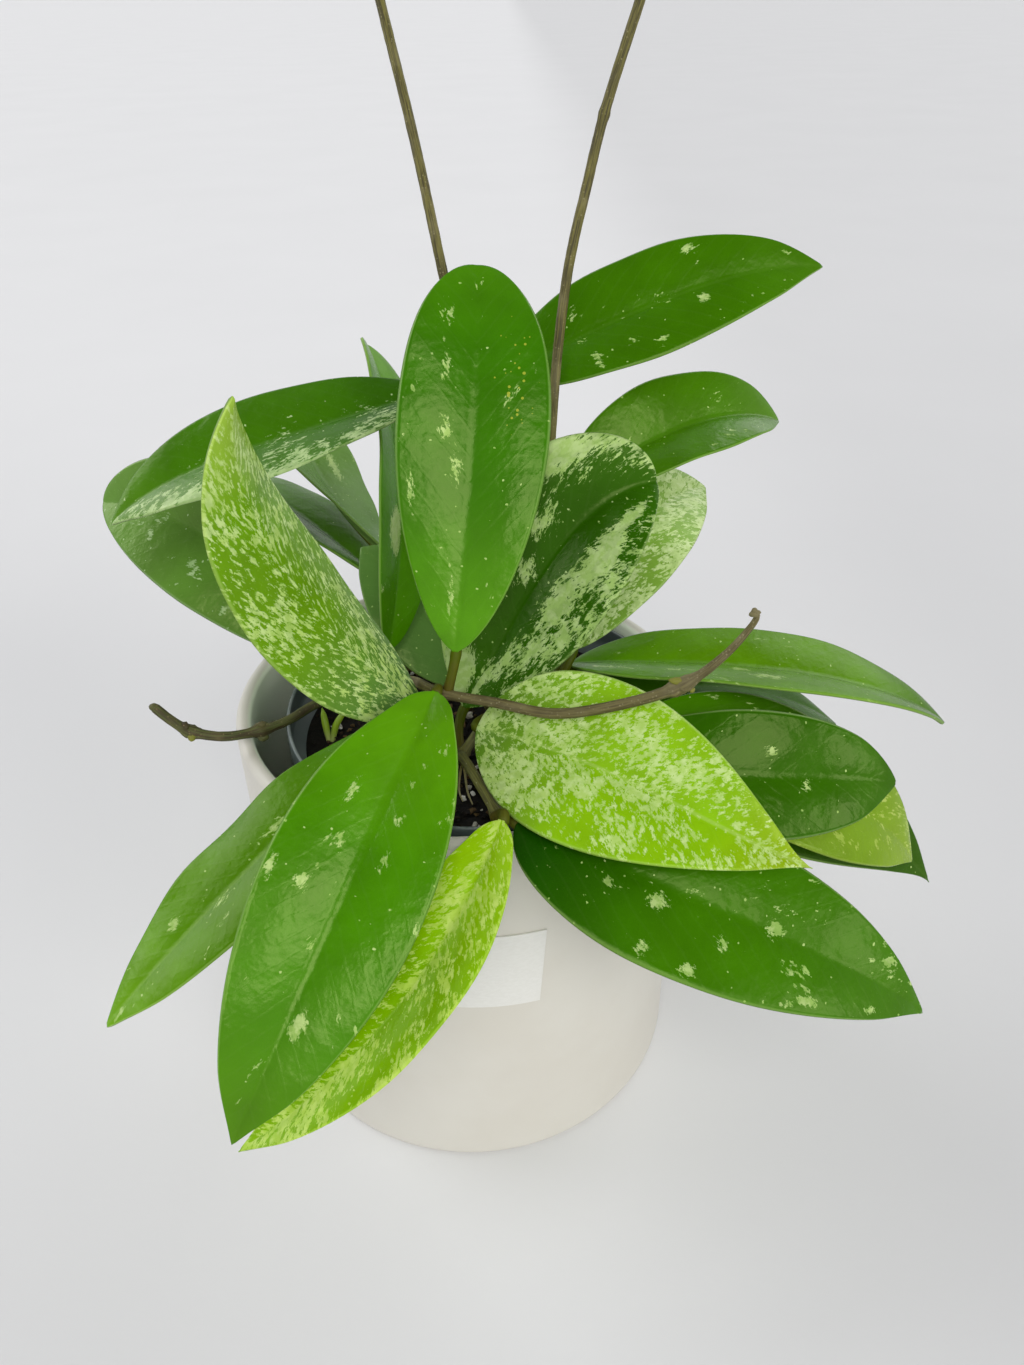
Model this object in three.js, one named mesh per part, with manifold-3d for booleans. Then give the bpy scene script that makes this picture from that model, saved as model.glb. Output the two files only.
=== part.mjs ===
// A splash hoya, Hoya pubicalyx, in a thin nursery pot that stands inside a plain white ceramic pot.
// Millimetres, +Z up. The origin is the middle of the ceramic pot's underside, and the plant faces -Y.
// Headings are degrees round Z: 0 points to +X and 90 points to +Y, away from the front.

import * as THREE from "three";
import { mergeVertices } from "three/addons/utils/BufferGeometryUtils.js";
import Module from "manifold-3d";

const wasm = await Module();
wasm.setup();

// Room left between pieces that touch
const GAP = 0.3;
const MERGE_DISTANCE = 1e-3;

// Ceramic pot
const POT_RADIUS = 64;
const POT_HEIGHT = 129.3;
const POT_WALL = 4.2;
const POT_FLOOR = 6;
const POT_FOOT_BEVEL = 1.5;
const POT_INNER_FILLET = 5;
const POT_FACETS = 48;

// Blank sticker on the ceramic pot's front
const LABEL_WIDTH = 40;
const LABEL_HEIGHT = 27;
const LABEL_THICKNESS = 0.6;
const LABEL_CENTRE_Z = 84;
const LABEL_HEADING = -89;
const LABEL_TILT = 4;
const LABEL_COLUMNS = 12;

// Nursery pot, which stands off centre
const NURSERY_SHIFT = 4.5;
const NURSERY_FLOOR_Z = POT_FLOOR + GAP;
const NURSERY_RIM_Z = 126;
const NURSERY_RIM_RADIUS = 55;
const NURSERY_RIM_DEPTH = 9;
const NURSERY_WALL = 1.2;
const NURSERY_TOP_RADIUS = 53;
const NURSERY_FOOT_RADIUS = 42;
const NURSERY_FACETS = 36;
const DRAIN_COUNT = 5;
const DRAIN_RADIUS = 4;
const DRAIN_RING_RADIUS = 28;
const DRAIN_FACETS = 8;

// Soil
const SOIL_EDGE_Z = 116;
const SOIL_CROWN_Z = 118;
const SOIL_FACETS = 36;

// Stems
const STEM_RADIUS = 1.3;
const STEM_SIDES = 8;
const STEM_STEP = 12;
const STEM_DEPTH_IN_SOIL = 14;
const HOLE_CLEARANCE = 0.8;
const KNUCKLE_RADIUS = 2.1;
const KNUCKLE_LENGTH = 2.6;
const TIP_TAPER_LENGTH = 22;

// Leaves
const LEAF_ROWS = 12;
const LEAF_COLUMNS = [-1, -0.5, 0, 0.5, 1];
const LEAF_MIDDLE_THICKNESS = 1.3;
const LEAF_EDGE_THICKNESS = 0.8;
const LEAF_TIP_HALF_WIDTH = 0.5;
const MIDRIB_STEPS = 96;
const STALK_RADIUS = 1.35;
const STALK_END_RADIUS = 0.85;
const STALK_SIDES = 6;
const STALK_START = 1.2;
const STALK_BEND = 0.35;
const STALK_REACH = 0.15;

// The knuckles on the stems where leaf stalks grow out
const KNUCKLE = {
  front: [-4, -30, 149],
  rim: [10, -55, 130],
  fork: [0, -29, 128],
  middle: [9, -24, 138],
  frontLeft: [-9, -20, 131],
  left: [-18, 12, 124],
  leftEnd: [-28, 14, 127],
  backLeft: [-23, 35, 138],
  back: [7, 2, 123],
  rightLow: [24, -4, 130],
  rightMiddle: [26, -21, 130],
  rightEnd: [37, -29, 131],
  vineLeft: [3, 36, 205],
  vineRight: [23, 20, 165],
};

// Each stem rises from its hole in the soil at root [x, y] and follows its path.
// A path point that is also a knuckle is swollen there, and so are the bare knuckles.
const STEMS = {
  vine_left: {
    root: [6, 36],
    path: [
      [5, 37, 150], KNUCKLE.vineLeft, [-2, 35, 234], [-9, 55, 263], [-17, 75, 292], [-22, 86, 312],
      [-24, 92, 330],
    ],
    knuckles: [KNUCKLE.vineLeft],
    tapers: true,
  },
  vine_right: {
    root: [17, 22],
    path: [
      [19, 21, 140], KNUCKLE.vineRight, [25.2, 21, 195], [27.1, 28, 216], [30.3, 37, 236], [34.6, 44, 252],
      [39.2, 51, 268], [47.7, 60, 291], [55, 67, 310], [60.5, 72, 326],
    ],
    knuckles: [KNUCKLE.vineRight],
    tapers: true,
  },
  stem_arching: {
    root: [-26, -6],
    path: [
      [-25, -7, 126], [-19, -11, 138], [-13, -17, 144], KNUCKLE.front, [10, -36, 150], [23, -42, 151],
      [34, -46, 155], [52, -50, 164], [61, -50, 172], [67, -49, 180],
    ],
    knuckles: [KNUCKLE.front, [52, -50, 164]],
  },
  stem_stub_left: {
    root: [-27, 5],
    path: [
      [-28.5, 3.5, 124], [-34, -1, 129], [-41, -7, 131], [-53, -23, 133], [-62, -27, 135],
      [-70, -28, 136], [-78, -26, 142],
    ],
    knuckles: [[-53, -23, 133], [-70, -28, 136]],
  },
  stem_fork: {
    root: [-5, -27],
    path: [[-4, -28, 123], KNUCKLE.fork, [5, -26, 134], KNUCKLE.middle],
    knuckles: [KNUCKLE.fork, KNUCKLE.middle],
    arm: [KNUCKLE.fork, [1, -35, 132], [4, -43, 133], KNUCKLE.rim],
    armKnuckles: [KNUCKLE.rim],
  },
  stem_front_left: {
    root: [-9, -17],
    path: [[-9, -18, 125], KNUCKLE.frontLeft],
    knuckles: [KNUCKLE.frontLeft],
  },
  stem_left: {
    root: [-16, 10],
    path: [KNUCKLE.left, KNUCKLE.leftEnd],
    knuckles: [KNUCKLE.left, KNUCKLE.leftEnd],
  },
  stem_back_left: {
    root: [-20, 28],
    path: [[-21, 30, 126], KNUCKLE.backLeft],
    knuckles: [KNUCKLE.backLeft],
  },
  stem_back: {
    root: [8, 1],
    path: [KNUCKLE.back],
    knuckles: [KNUCKLE.back],
  },
  stem_right: {
    root: [21, -2],
    path: [KNUCKLE.rightLow, KNUCKLE.rightMiddle, KNUCKLE.rightEnd],
    knuckles: [KNUCKLE.rightLow, KNUCKLE.rightMiddle, KNUCKLE.rightEnd],
  },
};

// Each leaf's stalk grows out of its stem at from. base is where its blade begins, toward and rise
// are the midrib's direction there, and bend, sweep and curl turn it on the way to the tip: bend down
// the length, sweep sideways, curl at the tip only. roll and twist turn the blade about its midrib, fold
// is the angle of each half above flat, and outline says how the width grows from the base and
// shrinks to the tip: a small second number is a blunt tip, a large one a long point.
const LEAVES = [
  {
    name: "leaf_centre_upright", stem: "stem_arching", from: [-2.5, -30.6, 149.2], colour: "bright",
    base: [0, -28, 160], toward: 75, rise: 62, bend: -18, sweep: 16, curl: -9,
    length: 99, width: 38, roll: -2, twist: 8, fold: 5, outline: [0.65, 0.5],
  },
  {
    name: "leaf_front_left_large", stem: "stem_arching", from: [-5.2, -28.7, 148.2], colour: "bright",
    base: [-5, -34, 152], toward: -109, rise: -17, bend: -28, sweep: -17, curl: -4,
    length: 111, width: 39, roll: -6, twist: -38, fold: 16, outline: [0.75, 0.85],
  },
  {
    name: "leaf_left_raised", stem: "stem_front_left", from: [-9, -21, 130], colour: "splashed",
    base: [-8, -30, 141], toward: 180, rise: 47, bend: 29, sweep: 11, curl: 32,
    length: 96, width: 38, roll: -21, twist: -5, fold: -10, outline: [0.75, 0.8],
  },
  {
    name: "leaf_front_left_narrow", stem: "stem_front_left", from: [-9, -19.5, 131.5], colour: "bright",
    base: [-11, -25, 139], toward: -129, rise: -6, bend: -29, sweep: -12, curl: 0,
    length: 104, width: 30, roll: 5, twist: -6, fold: 4, outline: [0.7, 0.75],
  },
  {
    name: "leaf_left_arching", stem: "vine_left", from: KNUCKLE.vineLeft, colour: "dark",
    base: [-6, 34, 204], toward: -173, rise: -14, bend: 3, sweep: 6, curl: -30,
    length: 97, width: 34, roll: -13, twist: -17, fold: 11, outline: [0.7, 0.85],
  },
  {
    name: "leaf_right_high", stem: "vine_left", from: KNUCKLE.vineLeft, colour: "dark",
    base: [10, 41, 204], toward: 11, rise: 24, bend: -5, sweep: -13, curl: -22,
    length: 94, width: 35, roll: 28, twist: 14, fold: 7, outline: [0.7, 0.8],
  },
  {
    name: "leaf_left_low", stem: "stem_left", from: KNUCKLE.leftEnd, colour: "dark",
    base: [-40, 17, 129], toward: 140, rise: 44, bend: -43, sweep: 18, curl: -12,
    length: 96, width: 43, roll: -41, twist: -13, fold: 12, outline: [0.65, 0.6],
  },
  {
    name: "leaf_back_edgewise", stem: "stem_left", from: KNUCKLE.left, colour: "dark",
    base: [-22, 11, 136], toward: 69, rise: 62, bend: -31, sweep: 50, curl: 2,
    length: 96, width: 32, roll: 71, twist: -20, fold: 13, outline: [0.6, 0.4],
  },
  {
    name: "leaf_back_left_pale", stem: "stem_back_left", from: [-23, 35, 138.5], colour: "bright",
    base: [-24, 49, 146], toward: 136, rise: 16, bend: 9, sweep: -29, curl: 0,
    length: 81, width: 36, roll: 50, twist: -32, fold: 12, outline: [0.7, 0.55],
  },
  {
    name: "leaf_back_left_dark", stem: "stem_back_left", from: [-22.7, 34.2, 136], colour: "dark",
    base: [-25, 45, 138], toward: 141, rise: 22, bend: -19, sweep: -6, curl: -12,
    length: 83, width: 37, roll: 26, twist: -8, fold: 8, outline: [0.85, 0.6],
  },
  {
    name: "leaf_back_low", stem: "stem_back", from: KNUCKLE.back, colour: "dark",
    base: [2, 12, 122], toward: 133, rise: 44, bend: -22, sweep: 5, curl: -9,
    length: 57, width: 31, roll: -24, twist: -1, fold: 7, outline: [0.6, 0.8],
  },
  {
    name: "leaf_right_patched", stem: "stem_fork", from: KNUCKLE.fork, colour: "splashed",
    base: [1, -18, 136], toward: 31, rise: 56, bend: 5, sweep: -20, curl: -63,
    length: 80, width: 48, roll: 36, twist: 8, fold: 23, outline: [0.75, 0.55],
  },
  {
    name: "leaf_right_pale", stem: "stem_right", from: [24.2, -5.5, 130.6], colour: "splashed",
    base: [31, 0, 142], toward: 66, rise: 38, bend: -45, sweep: -22, curl: -9,
    length: 84, width: 35, roll: 10, twist: 25, fold: 9, outline: [0.7, 0.75],
  },
  {
    name: "leaf_right_middle", stem: "vine_right", from: KNUCKLE.vineRight, colour: "dark",
    base: [28, 25, 174], toward: 17, rise: 38, bend: -44, sweep: 6, curl: -22,
    length: 74, width: 32, roll: 25, twist: 5, fold: 21, outline: [0.75, 0.7],
  },
  {
    name: "leaf_right_arching", stem: "stem_right", from: [23.7, -3, 128.6], colour: "dark",
    base: [31, 3, 135], toward: -22, rise: 16, bend: -29, sweep: 19, curl: -26,
    length: 106, width: 34, roll: -4, twist: -2, fold: 12, outline: [0.6, 0.7],
  },
  {
    name: "leaf_right_under", stem: "stem_right", from: KNUCKLE.rightMiddle, colour: "dark",
    base: [30, -11, 128], toward: 14, rise: 15, bend: -47, sweep: -13, curl: -8,
    length: 84, width: 30, roll: 9, twist: -15, fold: 3, outline: [0.5, 0.75],
  },
  {
    name: "leaf_right_rounded", stem: "stem_right", from: KNUCKLE.rightMiddle, colour: "dark",
    base: [28, -36, 133], toward: -28, rise: 7, bend: -9, sweep: 43, curl: -22,
    length: 84, width: 32, roll: 29, twist: 25, fold: 5, outline: [0.75, 0.65],
  },
  {
    name: "leaf_right_lime", stem: "stem_right", from: [36.6, -29.5, 130.8], colour: "splashed",
    base: [45, -36, 134], toward: -9, rise: 4, bend: -51, sweep: 9, curl: -15,
    length: 87, width: 34, roll: 39, twist: -8, fold: 3, outline: [1.0, 0.85],
  },
  {
    name: "leaf_right_narrow", stem: "stem_right", from: [37, -27.6, 131.2], colour: "dark",
    base: [47, -26, 137.5], toward: -12, rise: -20, bend: -13, sweep: 6, curl: -21,
    length: 97, width: 38, roll: 31, twist: 20, fold: 6, outline: [0.75, 1.2],
  },
  {
    name: "leaf_front_right_splashed", stem: "stem_fork", from: KNUCKLE.middle, colour: "splashed",
    base: [5, -31, 138.7], toward: -35, rise: 11, bend: -35, sweep: 2, curl: 25,
    length: 89, width: 43, roll: 41, twist: -3, fold: 17, outline: [0.7, 1.15],
  },
  {
    name: "leaf_front_right_dark", stem: "stem_fork", from: [11.5, -54.6, 130.2], colour: "dark",
    base: [14.5, -59, 131.2], toward: -31, rise: -5, bend: -19, sweep: 27, curl: -21,
    length: 106, width: 39, roll: 16, twist: 22, fold: 6, outline: [0.55, 0.85],
  },
  {
    name: "leaf_front_hanging", stem: "stem_fork", from: [8.8, -56, 130.4], colour: "splashed",
    base: [11, -62, 135], toward: -116, rise: -36, bend: 1, sweep: -51, curl: 4,
    length: 97, width: 27, roll: 3, twist: -14, fold: 11, outline: [0.7, 0.95],
  },
];

// A young shoot that has just come through the soil
const SPROUT = {
  root: [-39, -6],
  spears: [
    [[-39, -6, 117], [-37, -4, 120], [-34, -2, 124]],
    [[-39, -6, 117], [-40, -4, 120], [-41, -1, 124]],
  ],
  radius: 0.9,
};

// Surface colours
const MATERIALS = {
  ceramic: new THREE.MeshStandardMaterial({ color: 0xe9e7e1, roughness: 0.45, metalness: 0 }),
  paper: new THREE.MeshStandardMaterial({ color: 0xf4f4f2, roughness: 0.6, metalness: 0 }),
  plastic: new THREE.MeshStandardMaterial({ color: 0x1d2422, roughness: 0.5, metalness: 0 }),
  soil: new THREE.MeshStandardMaterial({ color: 0x2a2019, roughness: 0.95, metalness: 0 }),
  bark: new THREE.MeshStandardMaterial({ color: 0x6b6048, roughness: 0.75, metalness: 0 }),
  shoot: new THREE.MeshStandardMaterial({ color: 0x9fb84a, roughness: 0.5, metalness: 0 }),
  bright: new THREE.MeshStandardMaterial({ color: 0x4f8c1e, roughness: 0.35, metalness: 0 }),
  dark: new THREE.MeshStandardMaterial({ color: 0x2f5f24, roughness: 0.35, metalness: 0 }),
  splashed: new THREE.MeshStandardMaterial({ color: 0x8fb262, roughness: 0.35, metalness: 0 }),
};

const vector = ([x, y, z]) => new THREE.Vector3(x, y, z);
const radians = THREE.MathUtils.degToRad;

// A solid for joining and cutting, from a closed geometry
function solidOf(geometry) {
  const loose = geometry.index ? geometry.toNonIndexed() : geometry;
  const bare = new THREE.BufferGeometry().setAttribute("position", loose.getAttribute("position"));
  const merged = mergeVertices(bare, MERGE_DISTANCE);
  const mesh = new wasm.Mesh({
    numProp: 3,
    vertProperties: merged.attributes.position.array,
    triVerts: new Uint32Array(merged.index.array),
  });
  return new wasm.Manifold(mesh);
}

// The geometry of a joined or cut solid
function geometryOf(solid) {
  const mesh = solid.getMesh();
  const geometry = new THREE.BufferGeometry();
  geometry.setAttribute("position", new THREE.BufferAttribute(new Float32Array(mesh.vertProperties), 3));
  geometry.setIndex(new THREE.BufferAttribute(new Uint32Array(mesh.triVerts), 1));
  geometry.computeVertexNormals();
  return geometry;
}

// A closed geometry from a list of points and a list of triangles
function closedGeometry(points, triangles) {
  const geometry = new THREE.BufferGeometry();
  const coordinates = points.flatMap((point) => point.toArray());
  geometry.setAttribute("position", new THREE.Float32BufferAttribute(coordinates, 3));
  geometry.setIndex(triangles);
  geometry.computeVertexNormals();
  return geometry;
}

// A closed sheet between two grids of points. Looking at the upper grid from outside, its rows run
// forwards and its columns run to the left. Both faces are split into triangles alike.
function sheet(upper, lower) {
  const rows = upper.length;
  const columns = upper[0].length;
  const up = (row, column) => row * columns + column;
  const down = (row, column) => (rows + row) * columns + column;
  const triangles = [];
  const quad = (a, b, c, d) => triangles.push(a, b, c, a, c, d);
  const lastRow = rows - 1;
  const lastColumn = columns - 1;
  for (let row = 0; row < lastRow; row += 1) {
    for (let column = 0; column < lastColumn; column += 1) {
      quad(up(row, column), up(row + 1, column), up(row + 1, column + 1), up(row, column + 1));
      triangles.push(down(row, column), down(row + 1, column + 1), down(row + 1, column));
      triangles.push(down(row, column), down(row, column + 1), down(row + 1, column + 1));
    }
    quad(up(row, 0), down(row, 0), down(row + 1, 0), up(row + 1, 0));
    quad(up(row, lastColumn), up(row + 1, lastColumn), down(row + 1, lastColumn), down(row, lastColumn));
  }
  for (let column = 0; column < lastColumn; column += 1) {
    quad(up(0, column), up(0, column + 1), down(0, column + 1), down(0, column));
    quad(up(lastRow, column), down(lastRow, column), down(lastRow, column + 1), up(lastRow, column + 1));
  }
  return closedGeometry([...upper.flat(), ...lower.flat()], triangles);
}

// A closed round rod through stations, each a centre, a direction and a radius
function rod(stations, sides) {
  const points = [];
  let side = Math.abs(stations[0].along.z) > 0.9 ? new THREE.Vector3(1, 0, 0) : new THREE.Vector3(0, 0, 1);
  for (const { centre, along, radius } of stations) {
    side = side.clone().addScaledVector(along, -side.dot(along)).normalize();
    const over = along.clone().cross(side);
    for (let corner = 0; corner < sides; corner += 1) {
      const turn = (2 * Math.PI * corner) / sides;
      const point = centre.clone().addScaledVector(side, radius * Math.cos(turn));
      points.push(point.addScaledVector(over, radius * Math.sin(turn)));
    }
  }
  const triangles = [];
  const last = stations.length - 1;
  for (let ring = 0; ring < last; ring += 1) {
    for (let corner = 0; corner < sides; corner += 1) {
      const next = (corner + 1) % sides;
      const [a, b] = [ring * sides + corner, ring * sides + next];
      triangles.push(a, b, b + sides, a, b + sides, a + sides);
    }
  }
  const first = points.push(stations[0].centre.clone()) - 1;
  const end = points.push(stations[last].centre.clone()) - 1;
  for (let corner = 0; corner < sides; corner += 1) {
    const next = (corner + 1) % sides;
    triangles.push(first, next, corner, end, last * sides + corner, last * sides + next);
  }
  return closedGeometry(points, triangles);
}

// A body of revolution on Z, from a profile of [radius, z] that closes on itself or on the axis
function turned(profile, facets) {
  const points = profile.map(([radius, z]) => new THREE.Vector2(radius, z));
  return new THREE.LatheGeometry(points, facets).rotateX(Math.PI / 2);
}

// Points of a quarter turn, as [radius, z], round a centre
function arc([centreRadius, centreZ], radius, fromDegrees, toDegrees, steps) {
  return Array.from({ length: steps + 1 }, (_, step) => {
    const angle = radians(fromDegrees + ((toDegrees - fromDegrees) * step) / steps);
    return [centreRadius + radius * Math.cos(angle), centreZ + radius * Math.sin(angle)];
  });
}

function ceramicPot() {
  const inside = POT_RADIUS - POT_WALL;
  const lip = POT_WALL / 2;
  const profile = [
    [0, 0],
    [POT_RADIUS - POT_FOOT_BEVEL, 0],
    [POT_RADIUS, POT_FOOT_BEVEL],
    ...arc([POT_RADIUS - lip, POT_HEIGHT - lip], lip, 0, 180, 6),
    ...arc([inside - POT_INNER_FILLET, POT_FLOOR + POT_INNER_FILLET], POT_INNER_FILLET, 0, -90, 3),
    [0, POT_FLOOR],
  ];
  return turned(profile, POT_FACETS);
}

function label() {
  const inner = POT_RADIUS + GAP;
  const tilt = radians(LABEL_TILT);
  const face = (radius) => [0, 1].map((row) => {
    const height = (row - 0.5) * LABEL_HEIGHT;
    return Array.from({ length: LABEL_COLUMNS + 1 }, (_, column) => {
      const across = (0.5 - column / LABEL_COLUMNS) * LABEL_WIDTH;
      const heading = radians(LABEL_HEADING) + (across * Math.cos(tilt) + height * Math.sin(tilt)) / inner;
      const z = LABEL_CENTRE_Z - across * Math.sin(tilt) + height * Math.cos(tilt);
      return new THREE.Vector3(radius * Math.cos(heading), radius * Math.sin(heading), z);
    });
  });
  return sheet(face(inner + LABEL_THICKNESS), face(inner));
}

function nurseryPot() {
  const skirtZ = NURSERY_RIM_Z - NURSERY_RIM_DEPTH;
  const profile = [
    [0, NURSERY_FLOOR_Z],
    [NURSERY_FOOT_RADIUS, NURSERY_FLOOR_Z],
    [NURSERY_TOP_RADIUS, skirtZ],
    [NURSERY_RIM_RADIUS, skirtZ],
    [NURSERY_RIM_RADIUS, NURSERY_RIM_Z],
    [NURSERY_RIM_RADIUS - NURSERY_WALL, NURSERY_RIM_Z],
    [NURSERY_TOP_RADIUS - NURSERY_WALL, skirtZ],
    [NURSERY_FOOT_RADIUS - NURSERY_WALL, NURSERY_FLOOR_Z + NURSERY_WALL],
    [0, NURSERY_FLOOR_Z + NURSERY_WALL],
  ];
  let solid = solidOf(turned(profile, NURSERY_FACETS));
  for (let hole = 0; hole < DRAIN_COUNT; hole += 1) {
    const turn = (2 * Math.PI * hole) / DRAIN_COUNT;
    const drill = new THREE.CylinderGeometry(DRAIN_RADIUS, DRAIN_RADIUS, 4 * NURSERY_WALL, DRAIN_FACETS);
    drill.rotateX(Math.PI / 2);
    drill.translate(DRAIN_RING_RADIUS * Math.cos(turn), DRAIN_RING_RADIUS * Math.sin(turn), NURSERY_FLOOR_Z);
    solid = solid.subtract(solidOf(drill));
  }
  return geometryOf(solid).translate(NURSERY_SHIFT, 0, 0);
}

// A straight hole in the soil for a stem of the given radius
function soilHole([x, y], radius) {
  const depth = STEM_DEPTH_IN_SOIL + GAP;
  const bit = radius + HOLE_CLEARANCE;
  const drill = new THREE.CylinderGeometry(bit, bit, 2 * depth, STEM_SIDES);
  return drill.rotateX(Math.PI / 2).translate(x, y, SOIL_EDGE_Z);
}

function soil() {
  const bottomZ = NURSERY_FLOOR_Z + NURSERY_WALL + GAP;
  const skirtZ = NURSERY_RIM_Z - NURSERY_RIM_DEPTH;
  const slope = (NURSERY_TOP_RADIUS - NURSERY_FOOT_RADIUS) / (skirtZ - NURSERY_FLOOR_Z);
  const clear = NURSERY_WALL + 2 * GAP;
  const radiusAt = (z) => NURSERY_FOOT_RADIUS - clear + slope * (z - NURSERY_FLOOR_Z);
  const profile = [
    [0, bottomZ],
    [radiusAt(bottomZ), bottomZ],
    [radiusAt(SOIL_EDGE_Z), SOIL_EDGE_Z],
    [0.6 * radiusAt(SOIL_EDGE_Z), (SOIL_EDGE_Z + 2 * SOIL_CROWN_Z) / 3],
    [0, SOIL_CROWN_Z],
  ];
  let solid = solidOf(turned(profile, SOIL_FACETS).translate(NURSERY_SHIFT, 0, 0));
  for (const { root } of Object.values(STEMS)) {
    solid = solid.subtract(solidOf(soilHole(root, STEM_RADIUS)));
  }
  return geometryOf(solid.subtract(solidOf(soilHole(SPROUT.root, SPROUT.radius))));
}

// Stations along a smooth curve: even steps, with closer ones round each knuckle
function stemStations(points, knuckles, tapers, extra) {
  const curve = new THREE.CatmullRomCurve3(points.map(vector));
  const length = curve.getLength();
  const samples = curve.getSpacedPoints(400);
  const knuckleAt = knuckles.map((knuckle) => {
    const distances = samples.map((sample) => sample.distanceTo(vector(knuckle)));
    return (length * distances.indexOf(Math.min(...distances))) / 400;
  });
  const steps = Math.ceil(length / STEM_STEP);
  const places = Array.from({ length: steps + 1 }, (_, step) => (length * step) / steps);
  const clear = places.filter((place) =>
    place === 0 || place === length || knuckleAt.every((at) => Math.abs(at - place) > 2 * KNUCKLE_LENGTH));
  const rings = knuckleAt.flatMap((at) => [-1, -0.4, 0.4, 1].map((part) => at + part * KNUCKLE_LENGTH));
  const inside = rings.filter((place) => place > 0.5 && place < length - 0.5);
  return [...clear, ...inside].sort((a, b) => a - b).map((place) => {
    const beyond = { 0: -extra, [length]: extra }[place] ?? 0;
    const nearest = Math.min(...knuckleAt.map((at) => Math.abs(at - place)), KNUCKLE_LENGTH);
    const swelling = (KNUCKLE_RADIUS - STEM_RADIUS) * (1 - nearest / KNUCKLE_LENGTH) ** 0.5;
    const taper = tapers ? Math.min(1, 0.5 + (length - place) / TIP_TAPER_LENGTH / 2) : 1;
    const part = Math.min(place / length, 1);
    const radius = (STEM_RADIUS + swelling) * taper + extra;
    const along = curve.getTangentAt(part);
    return { centre: curve.getPointAt(part).addScaledVector(along, beyond), along, radius };
  });
}

// A stem's solid, or with extra above 0 the room that it needs round it
function stemSolid({ root: [x, y], path, knuckles, tapers, arm, armKnuckles }, extra = 0) {
  const buried = [[x, y, SOIL_EDGE_Z - STEM_DEPTH_IN_SOIL], [x, y, SOIL_CROWN_Z]];
  const trunk = solidOf(rod(stemStations([...buried, ...path], knuckles, tapers, extra), STEM_SIDES));
  if (!arm) {
    return trunk;
  }
  return trunk.add(solidOf(rod(stemStations(arm, armKnuckles, false, extra), STEM_SIDES)));
}

// The direction of a leaf's midrib at a share s of its length, and its crosswise and upward directions
function directions(leaf, s) {
  const heading = radians(leaf.toward + leaf.sweep * s);
  const rise = radians(leaf.rise + leaf.bend * s + leaf.curl * s ** 4);
  const turn = radians(leaf.roll + leaf.twist * s);
  const along = new THREE.Vector3(
    Math.cos(rise) * Math.cos(heading),
    Math.cos(rise) * Math.sin(heading),
    Math.sin(rise),
  );
  const level = new THREE.Vector3(-Math.sin(heading), Math.cos(heading), 0);
  const above = along.clone().cross(level);
  const across = level.clone().multiplyScalar(Math.cos(turn)).addScaledVector(above, Math.sin(turn));
  const up = above.multiplyScalar(Math.cos(turn)).addScaledVector(level, -Math.sin(turn));
  return { along, across, up };
}

// Points of the midrib at equal steps from base to tip
function midribPoints(leaf) {
  const points = [vector(leaf.base)];
  for (let step = 0; step < MIDRIB_STEPS; step += 1) {
    const { along } = directions(leaf, (step + 0.5) / MIDRIB_STEPS);
    points.push(points[step].clone().addScaledVector(along, leaf.length / MIDRIB_STEPS));
  }
  return points;
}

// Half the blade's width at a share s of its length
function halfWidth(leaf, s) {
  const [grow, shrink] = leaf.outline;
  const widest = grow / (grow + shrink);
  const full = widest ** grow * (1 - widest) ** shrink;
  const smallest = s < widest ? STALK_END_RADIUS : LEAF_TIP_HALF_WIDTH;
  return Math.max(smallest, ((leaf.width / 2) * s ** grow * (1 - s) ** shrink) / full);
}

// The share of the blade's length at a row: the rows lie closer at the base and at the tip
function rowShare(row) {
  const even = row / LEAF_ROWS;
  return even - 0.07 * Math.sin(2 * Math.PI * even);
}

function bladeGeometry(leaf) {
  const midrib = midribPoints(leaf);
  const fold = radians(leaf.fold);
  const faces = { 1: [], "-1": [] };
  for (let row = 0; row <= LEAF_ROWS; row += 1) {
    const step = Math.round(MIDRIB_STEPS * rowShare(row));
    const s = step / MIDRIB_STEPS;
    const { across, up } = directions(leaf, s);
    const half = halfWidth(leaf, s);
    for (const side of [1, -1]) {
      faces[side].push(LEAF_COLUMNS.map((column) => {
        const out = Math.abs(column);
        const thickness = LEAF_MIDDLE_THICKNESS + (LEAF_EDGE_THICKNESS - LEAF_MIDDLE_THICKNESS) * out;
        const point = midrib[step].clone().addScaledVector(across, column * half * Math.cos(fold));
        return point.addScaledVector(up, out * half * Math.sin(fold) + (side * thickness) / 2);
      }));
    }
  }
  return sheet(faces[1], faces[-1]);
}

// The stalk from the stem's knuckle to the blade, ending as a rib that sinks into the blade
function stalkGeometry(leaf) {
  const from = vector(leaf.from);
  const base = vector(leaf.base);
  const { along } = directions(leaf, 0);
  const bendPoint = base.clone().addScaledVector(along, -STALK_BEND * base.distanceTo(from));
  const start = from.clone().addScaledVector(bendPoint.clone().sub(from).normalize(), STALK_START);
  const curve = new THREE.CubicBezierCurve3(start, start.clone().lerp(bendPoint, 0.5), bendPoint, base);
  const stations = [0, 0.25, 0.5, 0.75, 1].map((part) => (
    { centre: curve.getPoint(part), along: curve.getTangent(part), radius: STALK_RADIUS }));
  const midrib = midribPoints(leaf);
  for (const part of [0.5, 1]) {
    const s = STALK_REACH * part;
    const radius = STALK_RADIUS + (STALK_END_RADIUS - STALK_RADIUS) * part;
    stations.push({ centre: midrib[Math.round(MIDRIB_STEPS * s)], along: directions(leaf, s).along, radius });
  }
  return rod(stations, STALK_SIDES);
}

function leafGeometry(leaf) {
  const whole = solidOf(bladeGeometry(leaf)).add(solidOf(stalkGeometry(leaf)));
  return geometryOf(whole.subtract(stemSolid(STEMS[leaf.stem], GAP)));
}

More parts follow.
